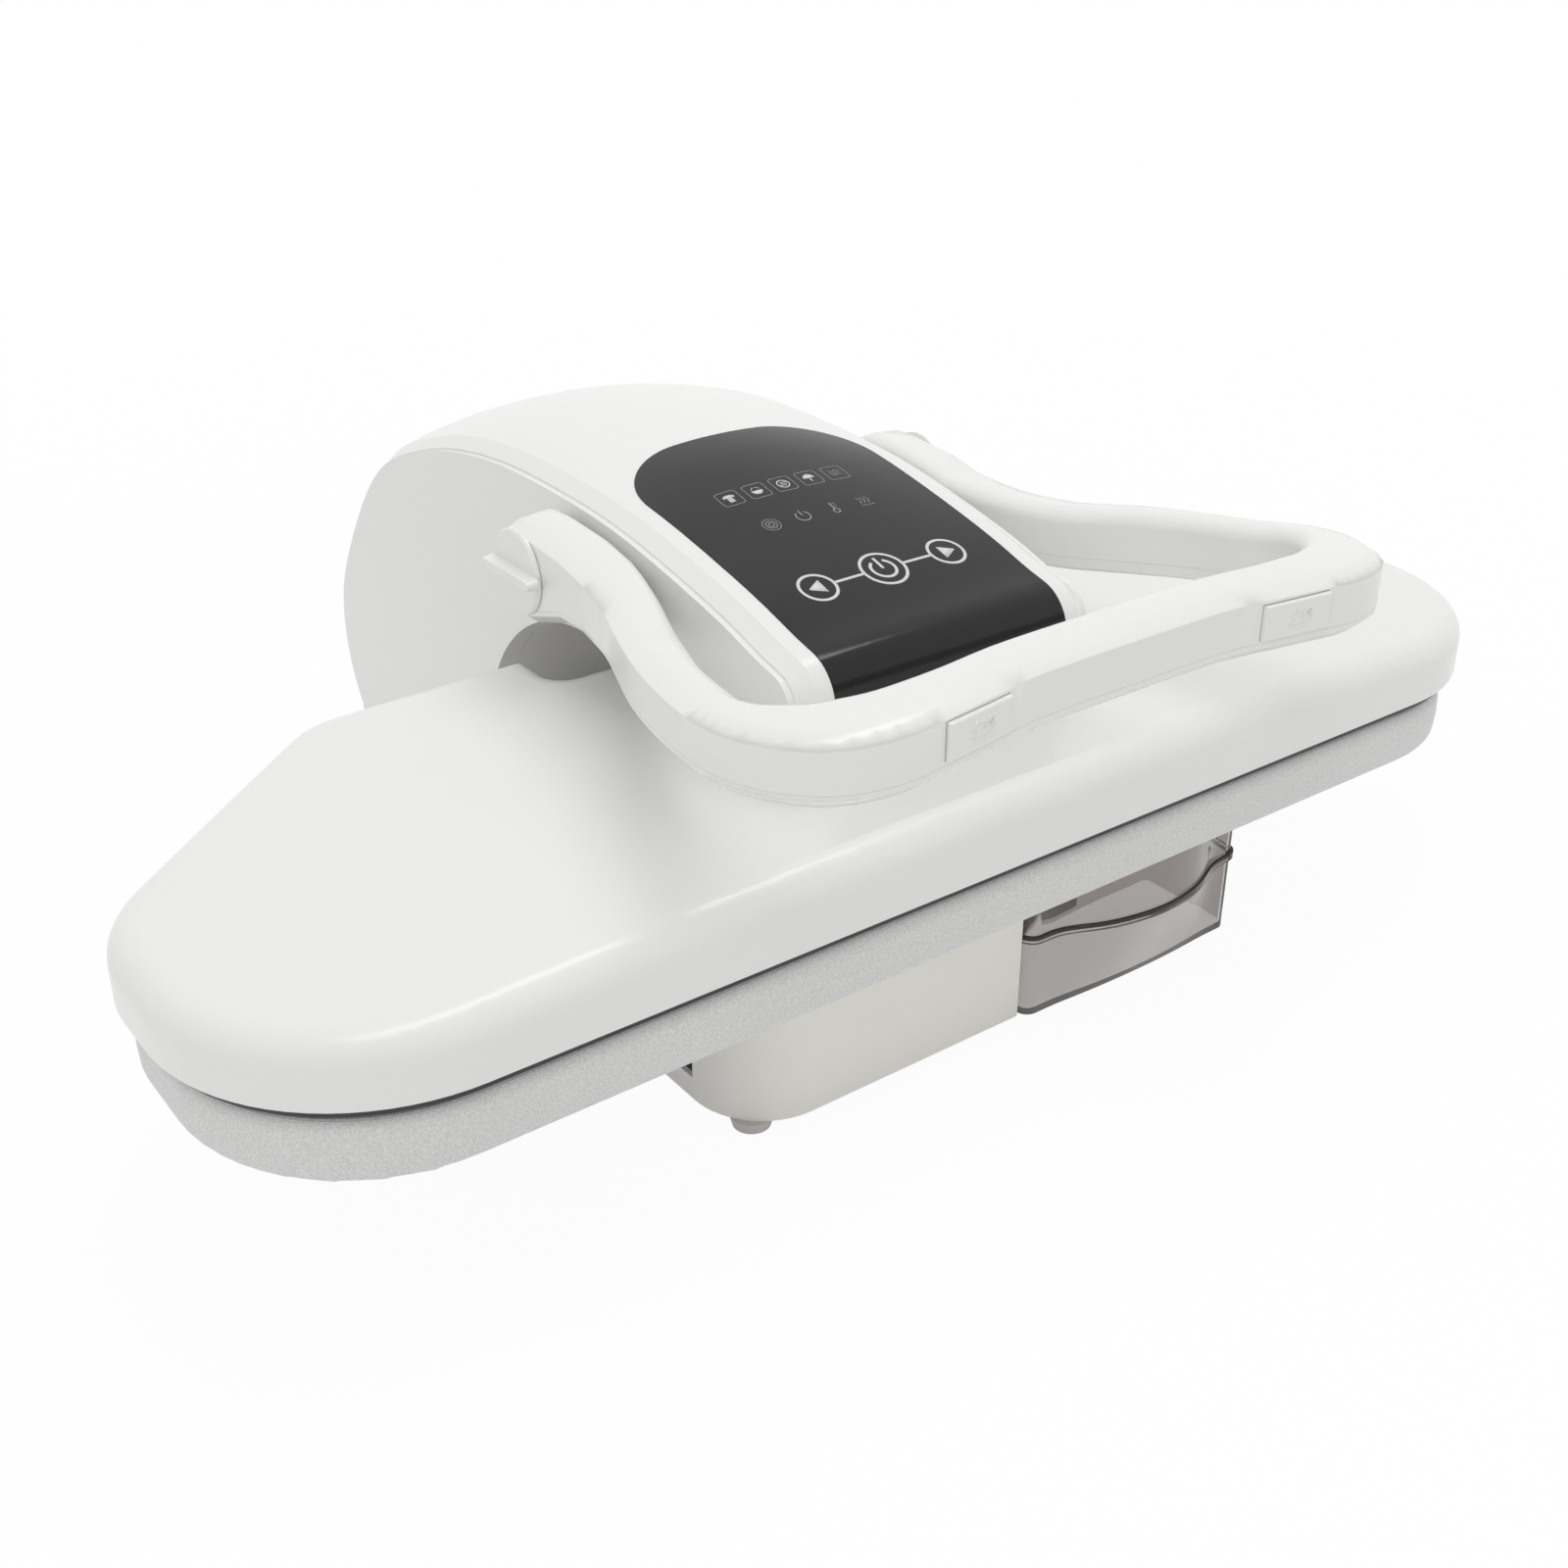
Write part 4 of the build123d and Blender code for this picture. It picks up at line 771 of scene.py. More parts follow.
@dataclass(frozen=True)
class SoftBox:
    """An area lamp aimed at a point."""

    name: str
    place: Place
    size: Point
    power: float
    mirrored: bool = False

    def build(self, aim: Place) -> None:
        """Hang the lamp.

        Args:
            aim: the point it looks at.
        """
        data = bpy.data.lights.new(self.name, "AREA")
        data.shape = "RECTANGLE"
        data.size, data.size_y = self.size
        data.energy = self.power
        lamp = bpy.data.objects.new(self.name, data)
        lamp.location = self.place
        lamp.visible_glossy = self.mirrored
        lamp.rotation_euler = (Vector(aim) - Vector(self.place)).to_track_quat("-Z", "Y").to_euler()
        bpy.context.scene.collection.objects.link(lamp)


@dataclass
class Studio:
    """Camera at the photograph's place, soft boxes, and a white floor that keeps a faint shadow."""

    camera_place: Place = (-0.48314, -0.70458, 0.51038)
    camera_tilt: float = 61.99
    camera_turn: float = -36.5
    camera_near: float = 0.01
    lens: float = 43.61
    sensor: float = 36.0
    floor_size: float = 24.0
    floor_shadow: float = 0.05
    shadow_near: float = 0.45
    shadow_far: float = 1.3
    world_light: float = 0.60
    aim: Place = (0, -0.05, 0.12)
    boxes: tuple[SoftBox, ...] = (
        SoftBox("key_box", (-1.6, -0.6, 1.6), (1.2, 1.1), 2.6),
        SoftBox("top_box", (0.3, 0.6, 2.3), (1.8, 1.4), 1.5),
        SoftBox("right_box", (2.0, -1.0, 1.0), (1.0, 1.6), 1.0),
        SoftBox("strip_box", (0.1, -0.25, 1.95), (2.2, 0.42), 12.4, mirrored=True),
    )

    def camera(self) -> None:
        """Set the camera where the photograph was taken from."""
        data = bpy.data.cameras.new("camera")
        data.lens = self.lens
        data.sensor_width = self.sensor
        data.sensor_fit = "HORIZONTAL"
        data.clip_start = self.camera_near
        camera = bpy.data.objects.new("camera", data)
        camera.location = self.camera_place
        camera.rotation_euler = (math.radians(self.camera_tilt), 0, math.radians(self.camera_turn))
        bpy.context.scene.collection.objects.link(camera)
        bpy.context.scene.camera = camera

    def seen_white(self, sheet: NodeSheet) -> bpy.types.NodeSocket:
        """How far a ray shows the white backdrop: camera, glossy and transmission rays do.

        Args:
            sheet: the sheet it is drawn on.

        Returns:
            The factor's output.
        """
        path = sheet.add("LightPath")
        seen = sheet.maths("MAXIMUM", path.outputs["Is Camera Ray"], path.outputs["Is Glossy Ray"])
        return sheet.maths("MAXIMUM", seen, path.outputs["Is Transmission Ray"])

    def world(self) -> None:
        """Plain soft light all round, white where it is looked at."""
        world = bpy.data.worlds.new("studio_world")
        bpy.context.scene.world = world
        world.use_nodes = True
        sheet = NodeSheet(world.node_tree)
        world.node_tree.nodes.clear()
        lit = sheet.feed(sheet.add("Background"), Color=WHITE, Strength=self.world_light)
        white = sheet.feed(sheet.add("Background"), Color=WHITE, Strength=1.0)
        mixed = sheet.add("MixShader")
        sheet.tree.links.new(self.seen_white(sheet), mixed.inputs[0])
        sheet.tree.links.new(lit.outputs[0], mixed.inputs[1])
        sheet.tree.links.new(white.outputs[0], mixed.inputs[2])
        sheet.tree.links.new(mixed.outputs[0], sheet.add("OutputWorld").inputs["Surface"])

    def lights(self) -> None:
        """Hang the soft boxes."""
        for box in self.boxes:
            box.build(self.aim)

    def floor(self) -> None:
        """White floor that the camera sees as white, with a little of its shading kept."""
        mesh = bmesh.new()
        bmesh.ops.create_grid(mesh, x_segments=1, y_segments=1, size=self.floor_size / 2)
        data = bpy.data.meshes.new("studio_floor")
        mesh.to_mesh(data)
        mesh.free()
        floor = bpy.data.objects.new("studio_floor", data)
        bpy.context.scene.collection.objects.link(floor)
        material = bpy.data.materials.new("studio_white")
        material.use_nodes = True
        sheet = NodeSheet(material.node_tree)
        material.node_tree.nodes.clear()
        matt = sheet.feed(sheet.add("BsdfDiffuse"), Color=WHITE)
        glow = sheet.feed(sheet.add("Emission"), Color=WHITE, Strength=1.0)
        mixed = sheet.add("MixShader")
        far = sheet.add("VectorMath", operation="LENGTH")
        sheet.tree.links.new(sheet.place(), far.inputs[0])
        kept = sheet.spread(far.outputs["Value"], self.shadow_near, self.shadow_far, self.floor_shadow, 0.0)
        lifted = sheet.maths("SUBTRACT", 1.0, kept)
        factor = sheet.maths("MULTIPLY", self.seen_white(sheet), lifted)
        sheet.tree.links.new(factor, mixed.inputs[0])
        sheet.tree.links.new(matt.outputs[0], mixed.inputs[1])
        sheet.tree.links.new(glow.outputs[0], mixed.inputs[2])
        sheet.tree.links.new(mixed.outputs[0], sheet.add("OutputMaterial").inputs["Surface"])
        data.materials.append(material)

    def build(self) -> None:
        """Set up everything but the camera."""
        scene = bpy.context.scene
        scene.view_settings.view_transform = "Standard"
        self.world()
        self.lights()
        self.floor()


# Sub-assemblies


@dataclass
class FrameNodes:
    """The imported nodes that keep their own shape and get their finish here."""

    nodes: Nodes
    slots: dict[str, str]
    own_finish: dict[str, Finish] = field(default_factory=lambda: {"storage_pocket": LINER_PLASTIC})

    def build(self) -> None:
        """Dress every node by its material slot."""
        for name, node in self.nodes.items():
            finish = self.own_finish.get(name, SLOT_FINISH[self.slots[name]])
            dress(node, finish)
            log.info("dressed %s in %s", name, finish.name)


@dataclass
class SmoothShell:
    """A moulded shell's own form with its joins merged, so that light runs over it unbroken."""

    node: bpy.types.Object
    body: Body
    finish: Finish
    slot: str
    smooth_angle: float = 32.0
    join: float = 0.02 * MM

    def build(self) -> bpy.types.Object:
        """Make the smooth shell in the node's place.

        Returns:
            The shell's object.
        """
        mesh = bmesh.new()
        mesh.from_mesh(self.node.data)
        bmesh.ops.remove_doubles(mesh, verts=mesh.verts, dist=self.join)
        bmesh.ops.dissolve_degenerate(mesh, edges=mesh.edges, dist=self.join)
        for face in mesh.faces:
            face.smooth = True
        piece = new_piece(f"{self.node.name}_moulded", mesh, self.finish, self.body,
                          self.smooth_angle)
        stale = piece.data.attributes.get("custom_normal")
        if stale:
            piece.data.attributes.remove(stale)
        even = piece.modifiers.new("even_light", "WEIGHTED_NORMAL")
        even.keep_sharp = True
        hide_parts(self.node.name)
        log.info("smooth shell on %s", self.node.name)
        return piece


@dataclass
class Wing:
    """Plan of the wing-shaped board, the same as its solid's."""

    half: float = 331 * MM
    shift: float = -4.0 * MM
    front: float = -221.5 * MM
    side_corner: float = -85.0 * MM
    rear_corner: float = 201.0 * MM
    rear: float = 10.0 * MM
    radii: tuple[float, float, float] = (80 * MM, 56 * MM, 36 * MM)
    steps: int = 14

    def outline(self, inset: float = 0.0) -> list[Point]:
        """The plan, drawn in all round.

        Args:
            inset: how far it is drawn in.

        Returns:
            The outline's points.
        """
        right = [(self.half - inset, self.front + inset), (self.half - inset, self.side_corner),
                 (self.rear_corner - inset, self.rear - inset)]
        left = [(-x, y) for x, y in reversed(right)]
        radii = [radius - inset for radius in (*self.radii, *reversed(self.radii))]
        return [(x + self.shift, y) for x, y in rounded(right + left, radii, self.steps)]


@dataclass
class PaddedBoard:
    """Foam pad on its tray under a stretched heat-reflecting cover with a gathered hem."""

    wing: Wing = field(default_factory=Wing)
    tray_bottom: float = 86 * MM
    top: float = 110.5 * MM
    cloth: float = 1.0 * MM
    top_round: float = 8 * MM
    low_round: float = 3.5 * MM
    hem_depth: float = 20 * MM
    gathers: int = 150
    gather_height: float = 0.7 * MM
    bulge: float = 0.6 * MM
    bulge_inset: float = 0.3 * MM
    bulge_shares: tuple[float, ...] = (0.25, 0.5, 0.75)
    low_steps: int = 4
    top_steps: int = 6

    def loops(self) -> list[Point]:
        """Inset and level of each ring of the cover, from the hem's inner edge to the top's edge.

        Returns:
            The rings, in order.
        """
        low, high = self.tray_bottom + self.low_round, self.top - self.top_round
        rings = [(self.hem_depth, self.tray_bottom - self.cloth / 2),
                 (self.hem_depth / 2, self.tray_bottom - self.cloth)]
        rings.extend(arc((self.low_round, low - self.cloth), self.low_round, 270, 180, self.low_steps))
        for share in self.bulge_shares:
            inset = self.bulge_inset - self.bulge * math.sin(math.pi * share)
            rings.append((inset, low + (high - low) * share))
        rings.extend(arc((self.top_round, high), self.top_round, 180, 90, self.top_steps))
        return rings

    def shell(self, grow: float) -> bmesh.types.BMesh:
        """The cover's form, open below inside the hem.

        Args:
            grow: how far it stands inside the cover's outer face.

        Returns:
            The bmesh.
        """
        mesh = bmesh.new()
        previous: Optional[list[bmesh.types.BMEdge]] = None
        for inset, level in self.loops():
            face = flat_loop(mesh, self.wing.outline(inset + grow), level)
            ring = list(face.edges)
            bmesh.ops.delete(mesh, geom=[face], context="FACES_ONLY")
            if previous:
                bmesh.ops.bridge_loops(mesh, edges=previous + ring)
            previous = ring
        bmesh.ops.holes_fill(mesh, edges=previous, sides=0)
        bmesh.ops.recalc_face_normals(mesh, faces=mesh.faces)
        return mesh

    def cover(self) -> bpy.types.Object:
        """The cloth cover, with its hem gathered under the tray.

        Returns:
            The cover.
        """
        mesh = self.shell(self.cloth / 2)
        for vert in mesh.verts:
            if vert.co.z < self.tray_bottom:
                turn = math.atan2(vert.co.y - self.wing.side_corner, vert.co.x)
                vert.co.z += self.gather_height * math.sin(turn * self.gathers)
        cover = new_piece("board_cloth_cover", mesh, SILVER_CLOTH, Body.BASE, SOFT_ANGLE)
        wall = cover.modifiers.new("cloth_thickness", "SOLIDIFY")
        wall.thickness = self.cloth
        wall.offset = 0
        return cover

    def build(self) -> None:
        """Make the cover and the pad."""
        cover = self.cover()
        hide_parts("board_cover")
        pad = FoamPad(self.wing).build()
        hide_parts("board_pad")


@dataclass
class FoamPad:
    """The foam under the cover, swelled in simulation so its sides crown."""

    wing: Wing
    bottom: float = 90.2 * MM
    top: float = 108.0 * MM
    inset: float = 5.5 * MM
    voxel: float = 7 * MM
    pressure: float = 3.0
    frames: int = 14
    cap: float = 1.6 * MM

    def block(self) -> bpy.types.Object:
        """The pad before it swells.

        Returns:
            The pad's object.
        """
        mesh = bmesh.new()
        face = flat_loop(mesh, self.wing.outline(self.inset), self.bottom)
        made = bmesh.ops.extrude_face_region(mesh, geom=[face])
        raised = [item for item in made["geom"] if isinstance(item, bmesh.types.BMVert)]
        bmesh.ops.translate(mesh, verts=raised, vec=(0, 0, self.top - self.bottom))
        bmesh.ops.recalc_face_normals(mesh, faces=mesh.faces)
        return new_piece("board_foam_pad", mesh, PAD_FOAM, Body.BASE, SOFT_ANGLE)

    def swell(self, pad: bpy.types.Object) -> None:
        """Blow the pad up a little by cloth simulation and hold how far each point moves.

        Args:
            pad: the pad's object.
        """
        remesh = pad.modifiers.new("grid", "REMESH")
        remesh.mode = "VOXEL"
        remesh.voxel_size = self.voxel
        apply_modifiers(pad)
        start = [vert.co.copy() for vert in pad.data.vertices]
        cloth = pad.modifiers.new("swell", "CLOTH")
        cloth.settings.use_pressure = True
        cloth.settings.uniform_pressure_force = self.pressure
        cloth.settings.effector_weights.gravity = 0
        cloth.point_cache.frame_end = self.frames
        scene = bpy.context.scene
        for frame in range(1, self.frames + 1):
            scene.frame_set(frame)
        apply_modifiers(pad)
        for vert, place in zip(pad.data.vertices, start):
            move = vert.co - place
            if move.length > self.cap:
                vert.co = place + move.normalized() * self.cap
            vert.co.z = max(vert.co.z, self.bottom)
        scene.frame_set(1)

    def build(self) -> bpy.types.Object:
        """Make the pad.

        Returns:
            The pad's object.
        """
        pad = self.block()
        self.swell(pad)
        pad.data.shade_smooth()
        return pad


def apply_modifiers(piece: bpy.types.Object) -> None:
    """Bake a piece's modifiers into its mesh.

    Args:
        piece: the object.
    """
    seen = piece.evaluated_get(bpy.context.evaluated_depsgraph_get())
    data = bpy.data.meshes.new_from_object(seen)
    piece.modifiers.clear()
    piece.data = data


@dataclass
class SurfacePrint:
    """Lines and filled shapes printed on the panel, drawn in plan and laid on its surface."""

    surface: BVHTree
    finish: Finish
    name: str
    lift: float = 0.12 * MM
    thickness: float = 0.10 * MM
    ring_steps: int = 40
    longest_run: float = 2.0 * MM
    above: float = 1.0
    strokes: list[tuple[list[Point], float, bool]] = field(default_factory=list)
    fills: list[list[Point]] = field(default_factory=list)

    def line(self, points: Sequence[Point], width: float, closed: bool = False) -> None:
        """Add a line.

        Args:
            points: its middle line.
            width: its width.
            closed: whether it ends where it starts.
        """
        self.strokes.append((list(points), width, closed))

    def ring(self, centre: Point, radius: float, width: float, start: float = 0, end: float = 360) -> None:
        """Add a ring or part of one.

        Args:
            centre: its centre.
            radius: its middle line's radius.
            width: its line's width.
            start: first angle, in degrees.
            end: last angle, in degrees.
        """
        whole = end - start >= 360
        points = arc(centre, radius, start, end, self.ring_steps)
        self.line(points[:-1] if whole else points, width, whole)

    def fill(self, points: Sequence[Point]) -> None:
        """Add a filled shape.

        Args:
            points: its outline.
        """
        self.fills.append(list(points))

    def ribbon(self, mesh: bmesh.types.BMesh, points: list[Point], width: float, closed: bool) -> None:
        """Draw one line as a flat ribbon.

        Args:
            mesh: the bmesh it goes in.
            points: its middle line.
            width: its width.
            closed: whether it ends where it starts.
        """
        dense = subdivided(points, self.longest_run, closed)
        count = len(dense)
        rows = []
        for index, here in enumerate(dense):
            before = dense[index - 1] if closed or index else here
            after = dense[(index + 1) % count] if closed or index < count - 1 else here
            run = (Vector(after) - Vector(before)).normalized() * width / 2
            rows.append([mesh.verts.new((here[0] - run.y * side, here[1] + run.x * side, 0))
                         for side in (1, -1)])
        edges = [mesh.edges.new(row) for row in rows]
        pairs = list(zip(edges, edges[1:]))
        if closed:
            pairs.append((edges[-1], edges[0]))
        for first, second in pairs:
            bmesh.ops.bridge_loops(mesh, edges=[first, second])

    def build(self, body: Body, slot: str) -> bpy.types.Object:
        """Lay the print on the surface.

        Args:
            body: the body that carries it.
            slot: the record's material slot; not used.

        Returns:
            The print's object.
        """
        mesh = bmesh.new()
        for points, width, closed in self.strokes:
            self.ribbon(mesh, points, width, closed)
        for points in self.fills:
            flat_loop(mesh, points, 0)
        bmesh.ops.recalc_face_normals(mesh, faces=mesh.faces)
        downward = [face for face in mesh.faces if face.normal.z < 0]
        bmesh.ops.reverse_faces(mesh, faces=downward)
        for vert in mesh.verts:
            start = Vector((vert.co.x, vert.co.y, self.above))
            hit, normal, _, _ = self.surface.ray_cast(start, Vector((0, 0, -1)))
            vert.co = hit + normal * self.lift
        piece = new_piece(self.name, mesh, self.finish, body)
        wall = piece.modifiers.new("ink_thickness", "SOLIDIFY")
        wall.thickness = self.thickness
        wall.offset = -1
        return piece


def subdivided(points: Sequence[Point], step: float, closed: bool) -> list[Point]:
    """A line with more points, none further apart than a step.

    Args:
        points: the line's points.
        step: longest run.
        closed: whether it ends where it starts.

    Returns:
        The denser line.
    """
    dense: list[Point] = []
    last = len(points) if closed else len(points) - 1
    for index in range(last):
        start, end = Vector(points[index]), Vector(points[(index + 1) % len(points)])
        parts = max(1, math.ceil((end - start).length / step))
        dense.extend(tuple(start.lerp(end, part / parts)) for part in range(parts))
    if not closed:
        dense.append(tuple(points[-1]))
    return dense


def surface_of(node: bpy.types.Object) -> BVHTree:
    """A tree of a node's faces, for laying other pieces on it.

    Args:
        node: the node.

    Returns:
        The tree.
    """
    mesh = bmesh.new()
    mesh.from_mesh(node.data)
    tree = BVHTree.FromBMesh(mesh)
    mesh.free()
    return tree


# Outlines of the symbols about their own middles, in millimetres
ARROW: Shape = ((-2.7, -4.2), (4.1, -0.5), (4.5, 0.0), (4.1, 0.5), (-2.7, 4.2))
SHIRT: Shape = ((-1.4, -3), (1.4, -3), (1.4, 0.8), (2.6, 0.1), (3.2, 1.4), (1.4, 2.6), (-1.4, 2.6),
                (-3.2, 1.4), (-2.6, 0.1), (-1.4, 0.8))
LEAF: Shape = ((2.2, 1.2), (0.6, 2.8))


def placed(shape: Iterable[Point], middle: Point, flip: float = 1) -> list[Point]:
    """A symbol's outline at its place on the panel.

    Args:
        shape: its points, in millimetres.
        middle: where its middle goes, in metres.
        flip: -1 mirrors it left to right.

    Returns:
        The points, in metres.
    """
    return [(middle[0] + flip * x * MM, middle[1] + y * MM) for x, y in shape]


@dataclass
class TouchPanel:
    """Symbols on the black panel: two touch rings, the power ring between them and two rows of icons."""

    panel: bpy.types.Object
    touch_y: float = -122.7 * MM
    touch_pitch: float = 35.0 * MM
    small_ring: float = 8.35 * MM
    large_ring: float = 10.3 * MM
    power_ring: float = 5.7 * MM
    power_bar: float = 7.7 * MM
    power_open: float = 120
    line: float = 1.45 * MM
    upper_y: float = -52.2 * MM
    upper_pitch: float = 14.55 * MM
    upper_shift: float = -0.9 * MM
    frame_half: float = 5.4 * MM
    frame_corner: float = 1.6 * MM
    lower_y: float = -77.3 * MM
    lower_pitch: float = 17.1 * MM
    fine: float = 0.36 * MM
    arc_steps: int = 12

    def upper(self, place: int) -> Point:
        """Middle of an icon in the upper row, counted from the panel's middle."""
        return self.upper_shift + place * self.upper_pitch, self.upper_y

    def power_sign(self, ink: SurfacePrint, middle: Point, radius: float, bar: Point, width: float,
                   opening: float) -> None:
        """Ring open at the top with a bar in it.

        Args:
            ink: the print it goes in.
            middle: its middle.
            radius: the ring's radius.
            bar: where the bar starts and ends above the middle.
            width: the lines' width.
            opening: the angle at which the ring starts, in degrees.
        """
        ink.ring(middle, radius, width, opening, 540 - opening)
        ink.line([(middle[0], middle[1] + bar[0]), (middle[0], middle[1] + bar[1])], width)

    def touch_rings(self, ink: SurfacePrint) -> None:
        """Three rings joined by a line, with an arrow in each outer one and the power sign in the middle.

        Args:
            ink: the print they go in.
        """
        for side in (-1, 1):
            ink.ring((side * self.touch_pitch, self.touch_y), self.small_ring, self.line)
        ink.ring((0, self.touch_y), self.large_ring, self.line)
        for side in (-1, 1):
            ink.line([(side * self.large_ring, self.touch_y),
                      (side * (self.touch_pitch - self.small_ring), self.touch_y)], self.line)
            ink.fill(placed(ARROW, (side * self.touch_pitch, self.touch_y), side))
        self.power_sign(ink, (0, self.touch_y), self.power_ring, (0, self.power_bar), self.line,
                        self.power_open)

    def frames(self, ink: SurfacePrint) -> None:
        """Rounded frames of the upper icons.

        Args:
            ink: the print they go in.
        """
        half = self.frame_half
        corners = [(half, -half), (half, half), (-half, half), (-half, -half)]
        for place in range(-2, 3):
            x, y = self.upper(place)
            outline = rounded(corners, [self.frame_corner] * len(corners), len(corners))
            ink.line([(px + x, py + y) for px, py in outline], self.fine, True)

    def shirt(self, ink: SurfacePrint, middle: Point) -> None:
        """Small shirt.

        Args:
            ink: the print it goes in.
            middle: its middle.
        """
        ink.fill(placed(SHIRT, middle))

    def boll(self, ink: SurfacePrint, middle: Point) -> None:
        """Cotton boll: a half disc under two leaves.

        Args:
            ink: the print it goes in.
            middle: its middle.
        """
        radius, lift = 2.9, 0.2
        ink.fill(placed(arc((0, lift), radius, 180, 360, self.arc_steps), middle))
        for side in (-1, 1):
            ink.line(placed(LEAF, middle, side), self.fine)

    def wool(self, ink: SurfacePrint, middle: Point) -> None:
        """Ball of yarn.

        Args:
            ink: the print it goes in.
            middle: its middle.
        """
        radius, half, pitch, bolder = 2.9 * MM, 2.0, 1.2, 1.4
        ink.ring(middle, radius, self.fine * bolder)
        for turn in (-1, 0, 1):
            shift = turn * pitch
            ink.line(placed(((shift / 2 - half, shift), (shift / 2 + half, shift)), middle), self.fine)

    def fan(self, ink: SurfacePrint, middle: Point) -> None:
        """Silk fan: a half disc with its handle.

        Args:
            ink: the print it goes in.
            middle: its middle.
        """
        radius, handle, bolder = 3.0, 2.8, 1.6
        ink.fill(placed(arc((0, 0), radius, 0, 180, self.arc_steps), middle))
        ink.line(placed(((0, 0), (0, -handle)), middle), self.fine * bolder)

    def waves(self, ink: SurfacePrint, middle: Point) -> None:
        """Linen: three wavy lines.

        Args:
            ink: the print they go in.
            middle: their middle.
        """
        pitch, run, swing, turn = 1.6, 0.6, 0.5, 0.9
        for row in (-1, 0, 1):
            points = [(step * run, row * pitch + swing * math.sin(step * turn)) for step in range(-5, 6)]
            ink.line(placed(points, middle), self.fine)

    def target(self, ink: SurfacePrint, middle: Point) -> None:
        """Three rings inside each other.

        Args:
            ink: the print they go in.
            middle: their middle.
        """
        for radius, bolder in ((1.3, 1.3), (2.6, 1.3), (4.2, 1.0)):
            ink.ring(middle, radius * MM, self.fine * bolder)

    def switch(self, ink: SurfacePrint, middle: Point) -> None:
        """Small power sign.

        Args:
            ink: the print it goes in.
            middle: its middle.
        """
        radius, bar, bolder, opening = 3.4 * MM, (0.4 * MM, 4.4 * MM), 1.7, 125
        self.power_sign(ink, middle, radius, bar, self.fine * bolder, opening)

    def thermometer(self, ink: SurfacePrint, middle: Point) -> None:
        """Bulb and stem with three marks beside it.

        Args:
            ink: the print it goes in.
            middle: its middle.
        """
        bulb, bulb_drop, bulb_bolder = 1.5 * MM, 2.0 * MM, 1.7
        stem: Shape = ((0, -0.4), (0, 4.0))
        stem_bolder = 2.4
        ink.ring((middle[0], middle[1] - bulb_drop), bulb, self.fine * bulb_bolder)
        ink.line(placed(stem, middle), self.fine * stem_bolder)
        for level in (1.0, 2.2, 3.4):
            ink.line(placed(((1.0, level), (2.4, level)), middle), self.fine)

    def steam(self, ink: SurfacePrint, middle: Point) -> None:
        """Three wavy puffs over a plate.

        Args:
            ink: the print it goes in.
            middle: its middle.
        """
        pitch, rise, swing, turn = 2.2, 0.55, 0.6, 0.8
        plate: Shape = ((-3.6, -3.0), (3.6, -3.0))
        for row in (-1, 0, 1):
            points = [(row * pitch + swing * math.sin(step * turn), step * rise) for step in range(-3, 7)]
            ink.line(placed(points, middle), self.fine)
        ink.line(placed(plate, middle), self.fine)

    def lower_row(self, ink: SurfacePrint) -> None:
        """Target, power, thermometer and steam symbols.

        Args:
            ink: the print they go in.
        """
        symbols = (self.target, self.switch, self.thermometer, self.steam)
        first = -(len(symbols) - 1) / 2
        for index, draw in enumerate(symbols):
            draw(ink, ((first + index) * self.lower_pitch, self.lower_y))

    def build(self) -> None:
        """Print every symbol."""
        surface = surface_of(self.panel)
        slot = "cast_metal"
        bright = SurfacePrint(surface, PANEL_INK, "panel_touch_rings")
        self.touch_rings(bright)
        bright.build(Body.HEAD, slot)
        dim = SurfacePrint(surface, PANEL_INK_DIM, "panel_icons")
        self.frames(dim)
        self.lower_row(dim)
        self.waves(dim, self.upper(2))
        dim.build(Body.HEAD, slot)
        picked = SurfacePrint(surface, PANEL_INK, "panel_fabric_icons")
        for draw, place in ((self.shirt, -2), (self.boll, -1), (self.wool, 0), (self.fan, 1)):
            draw(picked, self.upper(place))
        picked.build(Body.HEAD, slot)
        log.info("touch panel printed")


# Arcs round the cloud on a button: first and last angle, middle and radius, in degrees and millimetres
CLOUD_ARCS = ((-60, 110, (1.6, -2.0), 1.9), (0, 160, (0.6, 1.2), 2.0), (60, 250, (-2.2, 1.6), 1.9),
              (110, 300, (-3.2, -1.6), 1.8))
CLOUD_BASE: Shape = ((-2.0, -3.4), (0.8, -3.7))


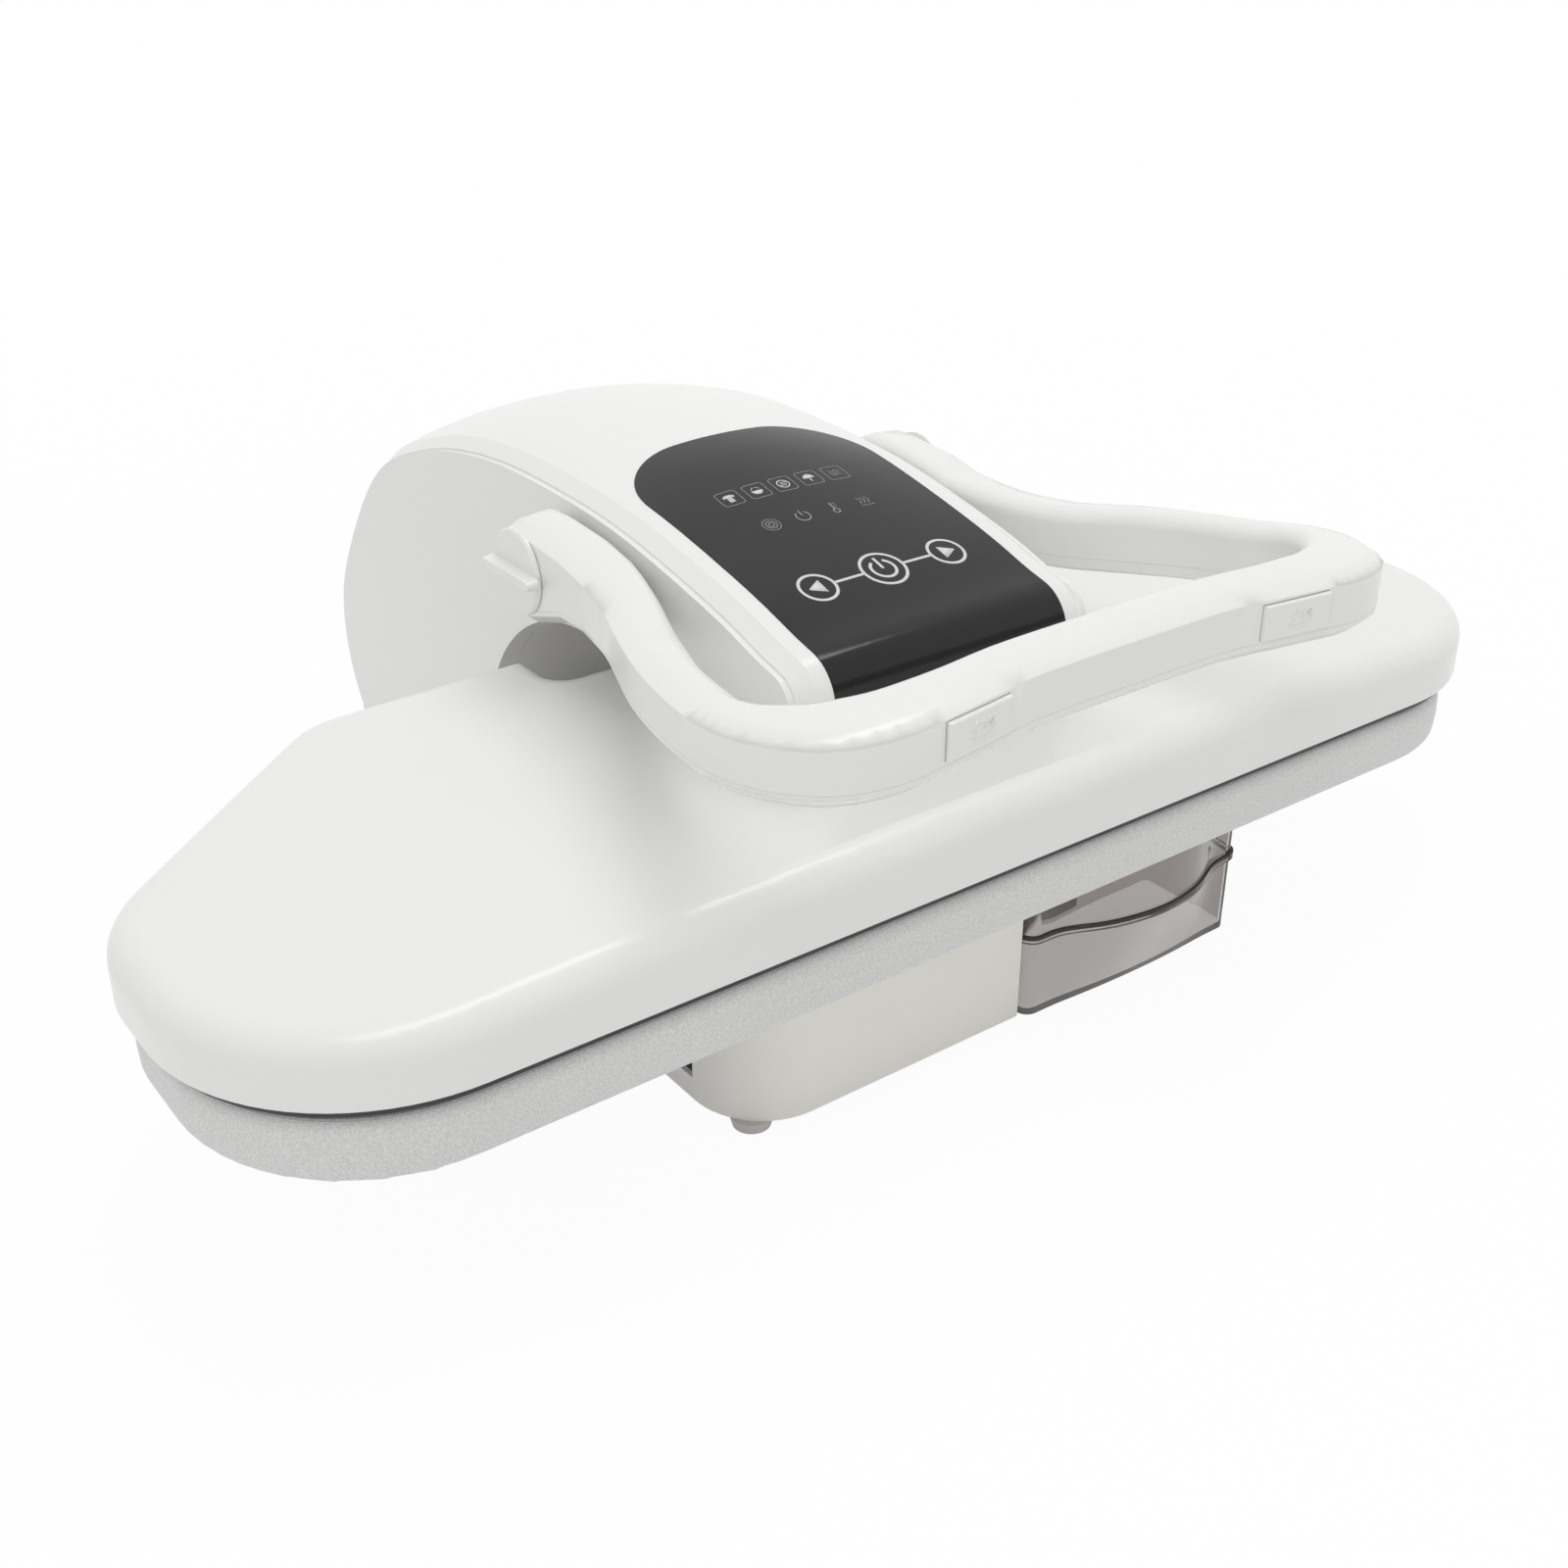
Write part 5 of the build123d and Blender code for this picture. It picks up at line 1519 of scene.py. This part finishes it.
@dataclass
class SteamMark:
    """Raised cloud with puffs of steam on a button's front."""

    side: Side
    button: bpy.types.Object
    middle_x: float = 82.0 * MM
    middle_z: float = 221.68 * MM
    wire: float = 0.42 * MM
    wire_steps: int = 2
    arc_steps: int = 7
    puff_start: Point = (4.6, -2.6)
    puff_pitch: Point = (0.95, 0.57)
    puff_count: int = 3
    puff_points: int = 6
    puff_swing: float = 0.45
    puff_rise: float = 0.75

    def cloud(self) -> list[tuple[list[Point], bool]]:
        """Lines of the mark about its middle, in millimetres.

        Returns:
            Each line's points and whether it is closed.
        """
        bumps = []
        for start, end, middle, radius in CLOUD_ARCS:
            bumps.extend(arc(middle, radius, start, end, self.arc_steps))
        bumps.extend(CLOUD_BASE)
        lines = [(bumps, True)]
        for puff in range(self.puff_count):
            x, z = (start + puff * pitch for start, pitch in zip(self.puff_start, self.puff_pitch))
            lines.append(([(x + self.puff_swing * math.sin(step), z + step * self.puff_rise)
                           for step in range(self.puff_points)], False))
        return lines

    def wires(self) -> bpy.types.Object:
        """The mark's lines as round wires laid on the button.

        Returns:
            The curve's object.
        """
        data = bpy.data.curves.new("mark_curve", "CURVE")
        data.dimensions = "3D"
        data.bevel_depth = self.wire
        data.bevel_resolution = self.wire_steps
        surface = surface_of(self.button)
        for points, closed in self.cloud():
            spline = data.splines.new("POLY")
            spline.use_cyclic_u = closed
            spline.points.add(len(points) - 1)
            for place, (x, z) in zip(spline.points, points):
                start = Vector((self.side.value * self.middle_x + x * MM, -1, self.middle_z + z * MM))
                hit = surface.ray_cast(start, Vector((0, 1, 0)))[0]
                place.co = (*hit, 1)
        curve = bpy.data.objects.new("mark_curve", data)
        bpy.context.scene.collection.objects.link(curve)
        bpy.context.view_layer.update()
        return curve

    def build(self) -> bpy.types.Object:
        """Raise the mark on the button.

        Returns:
            The mark's object.
        """
        curve = self.wires()
        mesh = bmesh.new()
        seen = curve.evaluated_get(bpy.context.evaluated_depsgraph_get())
        mesh.from_mesh(bpy.data.meshes.new_from_object(seen))
        bpy.data.objects.remove(curve)
        word = self.side.name.lower()
        body = Body.BUTTON_LEFT if self.side is Side.LEFT else Body.BUTTON_RIGHT
        piece = new_piece(f"steam_mark_{word}", mesh, SHELL_WHITE, body, SOFT_ANGLE)
        log.info("steam mark on the %s button", word)
        return piece


def main() -> None:
    """Build the whole scene in order."""
    logging.basicConfig(level=logging.INFO)
    studio = Studio()
    studio.camera()
    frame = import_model()
    nodes: Nodes = frame["nodes"]
    slots = {part["node"]: part["material_slot"] for part in frame["record"]["subparts"]}
    build_groups()
    studio.build()
    FrameNodes(nodes, slots).build()
    for name in ("handle_upper_shell", "handle_lower_shell"):
        SmoothShell(nodes[name], Body.HANDLE, SHELL_WHITE, slots[name]).build()
    PaddedBoard().build()
    TouchPanel(nodes["control_panel"]).build()
    for side in Side:
        SteamMark(side, nodes[f"steam_button_{side.name.lower()}"]).build()


if __name__ == "__main__":
    main()
